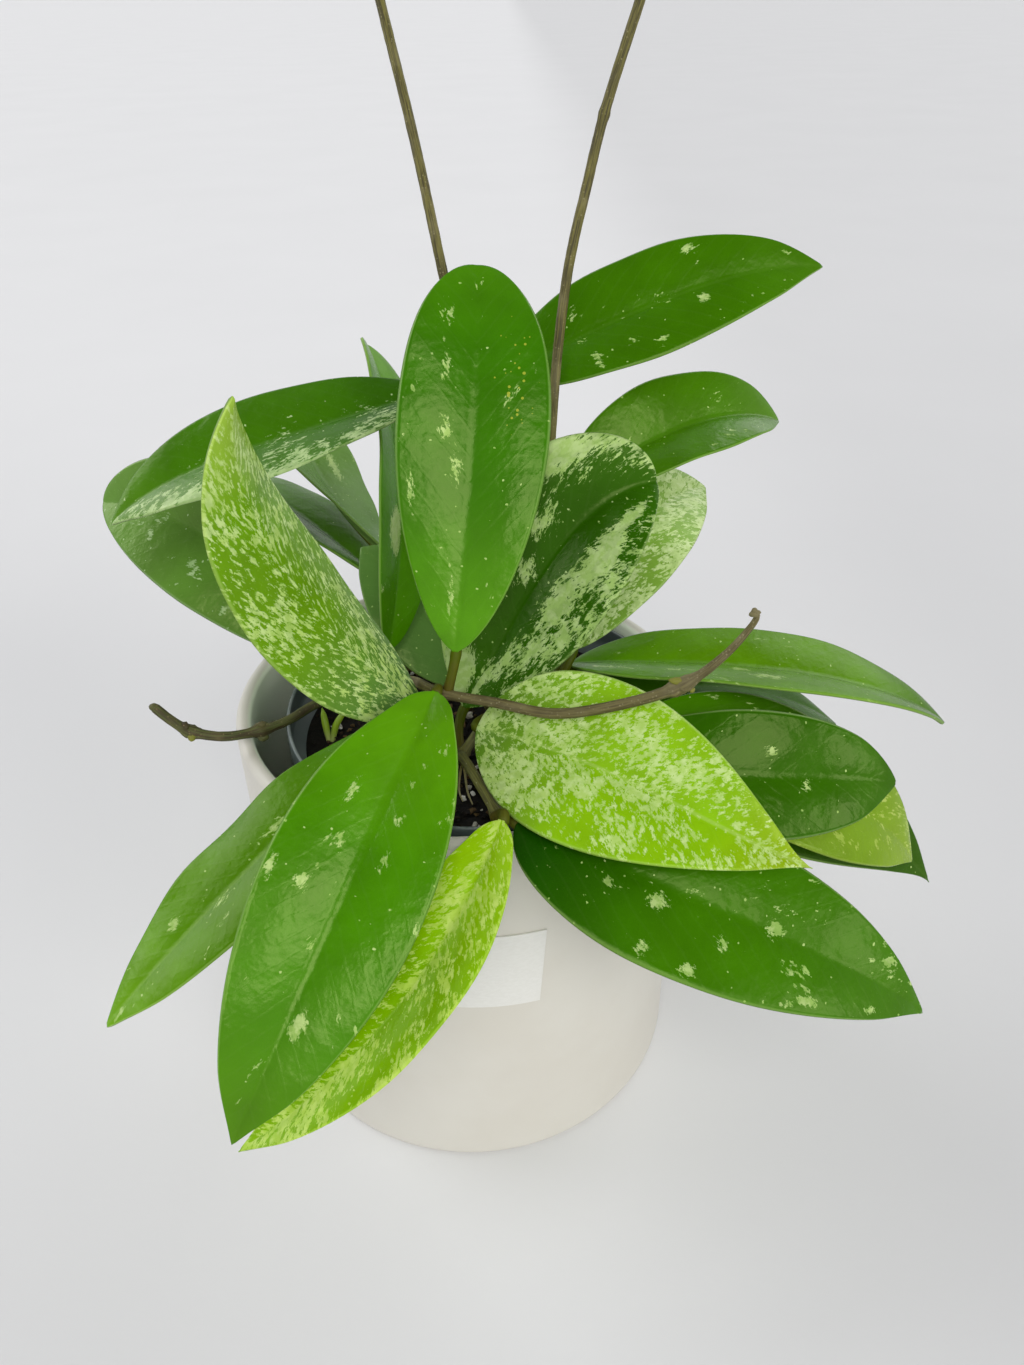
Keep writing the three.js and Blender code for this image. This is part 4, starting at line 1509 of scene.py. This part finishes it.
@dataclass(frozen=True)
class Studio:
    """Pale floor, soft light and the camera at the photograph's angle."""

    focal: float = 1025.0
    image_height: float = 1365.0
    place: Triple = (0.0138, -0.240, 0.2973)
    pitch: float = 34.7
    roll: float = -0.96
    floor_near: Tone = (222, 222, 223)
    floor_far: Tone = (228, 228, 229)
    floor_painted_shade: float = 0.12
    reach: float = 40.0

    def camera(self) -> Piece:
        """Set up the camera.

        Returns:
            The camera's object.
        """
        data = bpy.data.cameras.new("camera")
        data.sensor_fit = "VERTICAL"
        data.sensor_height = 36.0
        data.lens = 36.0 * self.focal / self.image_height
        data.clip_start = 0.01
        data.clip_end = 200.0
        camera = bpy.data.objects.new("camera", data)
        down, lean = math.radians(self.pitch), math.radians(self.roll)
        ahead = Vector((0.0, math.cos(down), -math.sin(down)))
        up = Vector((0.0, math.sin(down), math.cos(down)))
        right = Vector((1.0, 0.0, 0.0))
        axis_x = right * math.cos(lean) + up * math.sin(lean)
        axis_y = up * math.cos(lean) - right * math.sin(lean)
        turn = Matrix((axis_x, axis_y, -ahead)).transposed().to_4x4()
        camera.matrix_world = Matrix.Translation(self.place) @ turn
        bpy.context.scene.collection.objects.link(camera)
        bpy.context.scene.camera = camera
        return camera

    def sun(self, name: str, toward: Triple, strength: float, spread: float, tone: Tone) -> Piece:
        """Hang one broad soft light.

        Args:
            name: Its name.
            toward: Direction in which it lies.
            strength: Light that it throws.
            spread: Breadth in degrees, as seen from the plant.
            tone: Its colour.

        Returns:
            The light's object.
        """
        data = bpy.data.lights.new(name, "SUN")
        data.energy = strength
        data.angle = math.radians(spread)
        data.color = linear(tone)
        lamp = bpy.data.objects.new(name, data)
        lamp.rotation_euler = Vector(toward).to_track_quat("Z", "Y").to_euler()
        bpy.context.scene.collection.objects.link(lamp)
        return lamp

    def sky(self) -> None:
        """Give the surroundings a soft glow that is stronger low down than overhead."""
        world = bpy.data.worlds.new("soft_room")
        world.use_nodes = True
        bpy.context.scene.world = world
        nodes, links = world.node_tree.nodes, world.node_tree.links
        at = nodes.new("ShaderNodeTexCoord")
        parts = nodes.new("ShaderNodeSeparateXYZ")
        reach = nodes.new("ShaderNodeMapRange")
        for key, value in (("From Min", 0.5), ("From Max", 0.85), ("To Min", 0.7), ("To Max", 0.12)):
            reach.inputs[key].default_value = value
        glow = nodes["Background"]
        glow.inputs["Color"].default_value = (*linear((250, 251, 255)), 1.0)
        links.new(at.outputs["Generated"], parts.inputs[0])
        links.new(parts.outputs["Z"], reach.inputs["Value"])
        links.new(reach.outputs["Result"], glow.inputs["Strength"])

    def floor(self) -> Piece:
        """Lay the floor.

        Returns:
            The floor's object.
        """
        bm = bmesh.new()
        bmesh.ops.create_grid(bm, x_segments=8, y_segments=8, size=self.reach)
        mesh = bpy.data.meshes.new("floor")
        bm.to_mesh(mesh)
        bm.free()
        n = NodeSketch("paper_floor")
        at = n.place()
        # Painted light: the floor turns lighter towards the back, and a painted shade patch darkens it on the
        # right towards the back.
        far = n.step(n.split(at)[1], -0.1, 0.9)
        cloud = n.noise(at, 5.0, 4.0)
        colour = n.mix(far, self.floor_near, self.floor_far)
        painted_shade_patch = n.times(n.step(n.split(at)[0], 0.05, 0.3), n.step(n.split(at)[1], -0.15, 0.1))
        lit = n.line(painted_shade_patch, -self.floor_painted_shade, 0.975)
        colour = n.brighten(colour, n.line(cloud, 0.05, lit))
        mesh.materials.append(n.done(colour, 0.8, n.bump(n.noise(at, 300.0, 3.0), 0.05), 0.15))
        piece = bpy.data.objects.new("floor", mesh)
        bpy.context.scene.collection.objects.link(piece)
        return piece

    def build(self) -> None:
        """Set up the whole studio."""
        bpy.context.scene.view_settings.view_transform = "Standard"
        self.camera()
        self.sky()
        self.floor()
        warm, cool = (255, 254, 250), (252, 253, 255)
        for name, toward, strength, spread, tone in (
            ("front", (0.02, -0.7, 0.71), 1.25, 34.0, warm),
            ("right", (0.7, -0.58, 0.44), 0.66, 26.0, (255, 254, 251)),
            ("left", (-0.76, 0.34, 0.55), 1.0, 40.0, cool),
            ("back", (0.5, 0.66, 0.54), 0.5, 38.0, cool),
        ):
            self.sun(name, toward, strength, spread, tone)


FRONT = (-4, -30, 149)
FORK = (0, -29, 128)
RIM = (10, -55, 130)
MIDDLE = (9, -24, 138)
VINE_BARK = BarkFinish("vine_bark")
OLIVE_BARK = BarkFinish("olive_bark", (112, 104, 64), (82, 74, 44), (150, 142, 108), 0.45)
BROWN_BARK = BarkFinish("brown_bark", (84, 92, 46), (60, 50, 28), (134, 118, 80), 0.3)
GREEN_BARK = BarkFinish("green_bark", (116, 116, 58), (84, 84, 42), (152, 152, 110), 0.12)

STEMS = (
    StemPlan(
        "vine_left", (6, 36),
        (
            (5, 37, 150), (3, 36, 205), (-2, 35, 234), (-9, 55, 263), (-17, 75, 292), (-22, 86, 312),
            (-24, 92, 330),
        ),
        ((3, 36, 205),), VINE_BARK, taper=22.0,
    ),
    StemPlan(
        "vine_right", (17, 22),
        (
            (19, 21, 140), (23, 20, 165), (25.2, 21, 195), (27.1, 28, 216), (30.3, 37, 236),
            (34.6, 44, 252), (39.2, 51, 268), (47.7, 60, 291), (55, 67, 310), (60.5, 72, 326),
        ),
        ((23, 20, 165),), VINE_BARK, taper=22.0, faint=((39.2, 51, 268),),
    ),
    StemPlan(
        "stem_arching", (-26, -6),
        (
            (-25, -7, 126), (-19, -11, 138), (-13, -17, 144), FRONT, (10, -36, 150), (23, -42, 151),
            (34, -46, 155), (52, -50, 164), (61, -50, 172), (66.4, -49, 179), (67.4, -48.8, 181.4),
            (66.6, -48.8, 182.9),
        ),
        (FRONT, (51.2, -50, 163.4), (53.0, -50, 164.8)), OLIVE_BARK, taper=30.0,
        buds=(
            Bud((51.2, -50.2, 165.6), (2.0, 0.9, 0.7), True), Bud((53.2, -51.0, 164.2), (1.7, 1.0, 1.2)),
            Bud((54.4, -50.9, 163.6), (0.9, 0.7, 0.7), True), Bud((66.9, -48.8, 182.0), (0.9, 0.8, 1.3)),
        ),
    ),
    StemPlan(
        "stem_stub_left", (-27, 5),
        (
            (-28.5, 3.5, 124), (-34, -1, 129), (-41, -9, 131), (-47, -17.5, 132), (-53, -23, 133),
            (-62, -27.5, 134.6), (-70, -28, 137), (-74.5, -27, 139.8), (-78, -26, 142.8),
        ),
        ((-53, -23, 133), (-70, -28, 136)), BROWN_BARK,
        buds=(
            Bud((-52.4, -24.2, 131.7), (1.5, 1.2, 1.0)), Bud((-52.6, -22.8, 134.7), (1.4, 1.0, 0.9)),
            Bud((-54.6, -23.6, 132.4), (1.1, 0.9, 0.9)),
            Bud((-69.2, -29.3, 136.0), (1.3, 1.1, 1.2), True),
            Bud((-70.6, -28.2, 138.8), (1.4, 1.0, 1.0)), Bud((-78.4, -25.9, 143.0), (1.4, 1.1, 1.2)),
        ),
    ),
    StemPlan(
        "stem_fork", (-5, -27), ((-4, -28, 123), FORK, (5, -26, 134), MIDDLE), (FORK, MIDDLE, RIM),
        GREEN_BARK, arm=(FORK, (1, -35, 132), (4, -43, 133), RIM),
    ),
    StemPlan("stem_front_left", (-9, -17), ((-9, -18, 125), (-9, -20, 131)), ((-9, -20, 131),), GREEN_BARK),
    StemPlan(
        "stem_left", (-16, 10), ((-18, 12, 124), (-28, 14, 127)), ((-18, 12, 124), (-28, 14, 127)),
        GREEN_BARK,
    ),
    StemPlan("stem_back_left", (-20, 28), ((-21, 30, 126), (-23, 35, 138)), ((-23, 35, 138),), GREEN_BARK),
    StemPlan("stem_back", (8, 1), ((7, 2, 123),), ((7, 2, 123),), GREEN_BARK),
    StemPlan(
        "stem_right", (21, -2), ((24, -4, 130), (26, -21, 130), (37, -29, 131)),
        ((24, -4, 130), (26, -21, 130), (37, -29, 131)), GREEN_BARK,
    ),
)

LEAF = ((44, 92, 0), (60, 112, 2), (74, 122, 14))

LEAVES = (
    LeafPlan(
        "leaf_centre_upright", (-2.5, -30.6, 149.2), (0, -28, 160), (75, 62, -18, 16, -9), (99, 38),
        (-2, 8, 5), (0.65, 0.5),
        LeafFinish(
            Slot.BRIGHT, ((80, 142, 10), (53, 113, 0), (66, 124, 4)), cover=0.012, grain=0.9, clump=0.8,
            midrib=0.0, rough=0.23, gloss=0.36, freckles=((-0.55, 0.7, 7.0, 17.0),),
            blotches=(
                (0.45, 0.85, 1.0, 2.0), (0.4, 0.7, 1.0, 2.5), (0.35, 0.55, 1.5, 3.0),
                (0.2, 0.45, 1.2, 3.5), (0.8, 0.4, 0.8, 3.5), (0.2, 0.15, 1.0, 3.0),
            ),
        ),
    ),
    LeafPlan(
        "leaf_front_left_large", (-5.2, -28.7, 148.2), (-5, -34, 152), (-109, -17, -28, -17, -4),
        (111, 39), (-6, -38, 16), (0.75, 0.85),
        LeafFinish(
            Slot.BRIGHT, ((92, 154, 8), (67, 130, 0), (74, 126, 4)), cover=0.01, grain=1.0, clump=0.9,
            dots=0.12, midrib=0.0, rough=0.22, gloss=0.4,
            blotches=(
                (-0.45, 0.3, 1.2, 2.8), (-0.3, 0.4, 1.2, 1.8), (-0.5, 0.5, 1.6, 2.2),
                (-0.9, 0.5, 1.2, 2.2), (-0.1, 0.6, 0.9, 1.6), (0.2, 0.75, 2.4, 3.0), (0.3, 0.4, 1.0, 1.8),
            ),
        ),
        shoulder=0.35,
    ),
    LeafPlan(
        "leaf_left_raised", (-9, -21, 130), (-8, -30, 141), (180, 47, 29, 11, 32), (96, 38),
        (-21, -5, -10), (0.75, 0.8),
        LeafFinish(
            Slot.SPLASHED, ((84, 124, 60), (98, 146, 0), (160, 194, 68)), (182, 210, 114),
            (200, 222, 146), cover=0.42, grain=0.48, stretch=2.6, slant=0.3, clump=0.32, dots=0.3,
            gloss=0.28,
        ),
    ),
    LeafPlan(
        "leaf_front_left_narrow", (-9, -19.5, 131.5), (-11, -25, 139), (-129, -6, -29, -12, 0), (104, 30),
        (5, -6, 4), (0.7, 0.75),
        LeafFinish(
            Slot.BRIGHT, ((60, 110, 0), (80, 132, 0), (104, 158, 12)), cover=0.014, grain=0.7,
            stretch=3.2, clump=1.0, edge=0.5, midrib=0.12, gloss=0.26,
            blotches=(
                (-0.2, 0.45, 1.3, 3.0), (-0.35, 0.75, 2.0, 1.7), (0.1, 0.65, 1.3, 2.5),
            ),
        ),
        ripple=1.1,
    ),
    LeafPlan(
        "leaf_left_arching", (3, 36, 205), (-6, 34, 204), (-173, -14, 3, 6, -30), (97, 34),
        (-13, -17, 11), (0.7, 0.85),
        LeafFinish(
            Slot.DARK, LEAF, (166, 194, 128), (186, 208, 148), cover=0.12, grain=0.5, stretch=2.8,
            lean=0.17, slant=0.1, clump=0.35,
        ),
    ),
    LeafPlan(
        "leaf_right_high", (3, 36, 205), (10, 41, 204), (11, 24, -5, -13, -22), (94, 35), (28, 14, 7),
        (0.7, 0.8),
        LeafFinish(
            Slot.DARK, ((54, 106, 0), (58, 110, 0), (68, 118, 12)), cover=0.016, grain=0.8, clump=0.9,
            gloss=0.18,
            blotches=(
                (0.75, 0.65, 1.4, 2.2), (-0.25, 0.65, 2.0, 1.4), (-0.6, 0.3, 1.4, 1.4),
                (-0.75, 0.3, 1.6, 1.3), (0.6, 0.9, 1.4, 1.0),
            ),
        ),
    ),
    LeafPlan(
        "leaf_left_low", (-28, 14, 127), (-40, 17, 129), (140, 44, -43, 18, -12), (96, 43),
        (-41, -13, 12), (0.65, 0.6),
        LeafFinish(
            # The blue in these greens is partly the leaf's own grey-green and partly a painted bluish sheen.
            Slot.DARK, ((70, 112, 28), (84, 126, 42), (96, 140, 54)), (150, 182, 122), (172, 198, 144),
            cover=0.04, grain=0.8, clump=0.9, dots=0.3, gloss=0.44,
            blotches=(
                (0.45, 0.55, 1.8, 1.2), (0.4, 0.75, 2.5, 1.2), (0.75, 0.35, 1.8, 1.1),
            ),
        ),
    ),
    LeafPlan(
        "leaf_back_edgewise", (-18, 12, 124), (-22, 11, 136), (69, 62, -31, 50, 2), (96, 32),
        (71, -20, 13), (0.6, 0.4),
        LeafFinish(
            Slot.DARK, ((78, 142, 2), (76, 138, 6), (96, 150, 26)), (172, 204, 112), cover=0.02,
            gloss=0.1, blotches=((0.3, 0.35, 5.0, 7.0),),
        ),
    ),
    LeafPlan(
        "leaf_back_left_pale", (-23, 35, 138.5), (-24, 49, 146), (136, 16, 9, -29, 0), (81, 36),
        (50, -32, 12), (0.7, 0.55),
        LeafFinish(
            Slot.BRIGHT, ((92, 136, 48), (98, 142, 54), (104, 148, 60)), (160, 190, 116), cover=0.02,
            gloss=0.14, blotches=((-0.4, 0.6, 1.8, 8.0),),
        ),
    ),
    LeafPlan(
        "leaf_back_left_dark", (-22.7, 34.2, 136), (-25, 45, 138), (141, 22, -19, -6, -12), (83, 37),
        (26, -8, 8), (0.85, 0.6),
        LeafFinish(
            Slot.DARK, ((80, 130, 26), (82, 130, 26), (88, 134, 36)), cover=0.01, dots=0.05, gloss=0.18,
        ),
    ),
    LeafPlan(
        "leaf_back_low", (7, 2, 123), (2, 12, 122), (133, 44, -22, 5, -9), (57, 31), (-24, -1, 7),
        (0.6, 0.8),
        LeafFinish(Slot.DARK, ((88, 128, 58), (88, 128, 58), (92, 132, 60)), cover=0.02, dots=0.2),
    ),
    LeafPlan(
        "leaf_right_patched", FORK, (1, -18, 136), (31, 56, 5, -20, -63), (80, 48), (36, 8, 23),
        (0.75, 0.55),
        LeafFinish(
            Slot.SPLASHED, ((50, 96, 6), (40, 86, 0), (44, 92, 0)), (162, 194, 108), (182, 207, 136),
            cover=0.22, grain=0.42, stretch=2.6, lean=0.05, margin=0.26, slant=0.3, clump=0.3, dots=0.5,
            gloss=0.22,
            blotches=(
                (-0.45, 0.5, 4.2, 12.0), (-0.55, 0.7, 4.8, 12.0), (-0.5, 0.85, 3.0, 7.0),
                (-0.1, 0.1, 3.0, 7.0), (-0.3, 0.2, 2.6, 8.0), (-0.55, 0.3, 3.0, 8.0),
                (-0.75, 0.4, 3.0, 8.0), (0.55, 0.1, 10.0, 9.0), (0.8, 0.8, 5.0, 6.0),
                (0.3, 0.65, 2.2, 3.4), (0.15, 0.5, 2.6, 3.2), (-0.85, 0.65, 2.2, 6.0),
            ), tear=16.0,
        ),
    ),
    LeafPlan(
        "leaf_right_pale", (24.2, -5.5, 130.6), (31, 0, 142), (66, 38, -45, -22, -9), (84, 35),
        (10, 25, 9), (0.7, 0.75),
        LeafFinish(
            Slot.SPLASHED, ((118, 158, 58), (122, 162, 58), (126, 168, 56)), (190, 214, 140),
            (206, 224, 162), cover=0.55, grain=0.55, stretch=2.2, dots=0.3,
        ),
    ),
    LeafPlan(
        "leaf_right_middle", (23, 20, 165), (28, 25, 174), (17, 38, -44, 6, -22), (74, 32), (25, 5, 21),
        (0.75, 0.7),
        LeafFinish(Slot.DARK, ((62, 112, 4), (68, 120, 4), (84, 132, 28)), cover=0.03, grain=0.8),
    ),
    LeafPlan(
        "leaf_right_arching", (23.7, -3, 128.6), (31, 3, 135), (-22, 16, -29, 19, -26), (106, 34),
        (-4, -2, 12), (0.6, 0.7),
        LeafFinish(
            Slot.DARK, ((84, 138, 6), (90, 140, 4), (66, 108, 2)), cover=0.018, grain=0.6, stretch=4.5,
            lean=-0.05, clump=0.8, midrib=0.0, gloss=0.2,
            blotches=(
                (-0.6, 0.1, 1.2, 7.0), (-0.55, 0.3, 1.2, 3.0), (-0.3, 0.45, 1.2, 3.0),
                (-0.55, 0.5, 1.7, 5.0),
            ),
        ),
    ),
    LeafPlan(
        "leaf_right_under", (26, -21, 130), (30, -11, 128), (14, 15, -47, -13, -8), (84, 30), (9, -15, 3),
        (0.5, 0.75),
        LeafFinish(Slot.DARK, ((60, 112, 0), (62, 112, 0), (66, 112, 4)), cover=0.01, gloss=0.06),
    ),
    LeafPlan(
        "leaf_right_rounded", (26, -21, 130), (28, -36, 133), (-28, 7, -9, 43, -22), (84, 32),
        (29, 25, 5), (0.75, 0.65),
        LeafFinish(
            Slot.DARK, ((44, 94, 0), (48, 98, 0), (54, 102, 2)), cover=0.012, grain=0.8, midrib=0.0,
            rough=0.2, gloss=0.24,
            blotches=(
                (0.35, 0.6, 1.2, 1.5), (-0.15, 0.7, 1.5, 0.8),
            ),
        ),
    ),
    LeafPlan(
        "leaf_right_lime", (36.6, -29.5, 130.8), (45, -36, 134), (-9, 4, -51, 9, -15), (87, 34),
        (39, -8, 3), (1.0, 0.85),
        LeafFinish(
            Slot.SPLASHED, ((108, 144, 18), (116, 152, 22), (130, 160, 34)), (160, 186, 74),
            (180, 198, 98), cover=0.3, grain=0.6, lean=0.08,
        ),
    ),
    LeafPlan(
        "leaf_right_narrow", (37, -27.6, 131.2), (47, -26, 137.5), (-12, -20, -13, 6, -21), (97, 38),
        (31, 20, 6), (0.75, 1.2),
        LeafFinish(Slot.DARK, ((72, 132, 0), (46, 84, 6), (52, 90, 12)), cover=0.06, stretch=4.0, gloss=0.14),
    ),
    LeafPlan(
        "leaf_front_right_splashed", (9, -24, 138), (5, -31, 138.7), (-35, 11, -35, 2, 25), (89, 43),
        (41, -3, 17), (0.7, 1.15),
        LeafFinish(
            Slot.SPLASHED, ((96, 140, 34), (134, 186, 10), (146, 176, 16)), (184, 214, 118),
            (202, 225, 150), cover=0.42, grain=0.6, stretch=1.5, slant=0.5, clump=0.5, reach=-0.08,
            dots=0.2, midrib=0.3,
        ),
    ),
    LeafPlan(
        "leaf_front_right_dark", (11.5, -54.6, 130.2), (14.5, -59, 131.2), (-31, -5, -19, 27, -21),
        (106, 39), (16, 22, 6), (0.55, 0.85),
        LeafFinish(
            # The base green (24, 74, 0) is painted shadow: this leaf's base lies in the shade of
            # leaf_front_right_splashed.
            Slot.DARK, ((24, 74, 0), (60, 116, 0), (64, 114, 6)), cover=0.026, grain=0.75, stretch=1.6,
            clump=0.9, reach=0.08, dots=0.3, midrib=0.0, gloss=0.24,
            blotches=(
                (-0.2, 0.35, 2.2, 2.2), (-0.8, 0.35, 1.6, 1.4), (-0.4, 0.5, 1.6, 1.3),
                (-0.85, 0.45, 1.5, 1.7), (0.05, 0.6, 2.5, 2.0), (-0.8, 0.7, 1.6, 2.5),
                (-0.75, 0.85, 1.8, 1.5),
            ),
        ),
    ),
    LeafPlan(
        "leaf_front_hanging", (8.8, -56, 130.4), (11, -62, 135), (-116, -36, 1, -51, 4), (97, 27),
        (3, -14, 11), (0.7, 0.95),
        LeafFinish(
            Slot.SPLASHED, ((150, 200, 10), (122, 174, 0), (126, 174, 4)), (182, 214, 84),
            (198, 224, 112), cover=0.45, grain=0.5, stretch=2.0, slant=0.6, clump=0.5, reach=0.03,
            dots=0.4, gloss=0.2,
        ),
        shoulder=0.3,
    ),
)


def main() -> None:
    """Build every piece."""
    logging.basicConfig(level=logging.INFO, format="%(message)s")
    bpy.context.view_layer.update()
    Studio().build()
    CoverPot().build()
    BlankLabel().build()
    NurseryPot().build()
    PottingMix().build()
    for plan in STEMS:
        Stem(plan).build()
    AirRoots().build()
    Sprout().build()
    for index, plan in enumerate(LEAVES):
        Leaf(plan, index + 1).build()


if __name__ == "__main__":
    main()
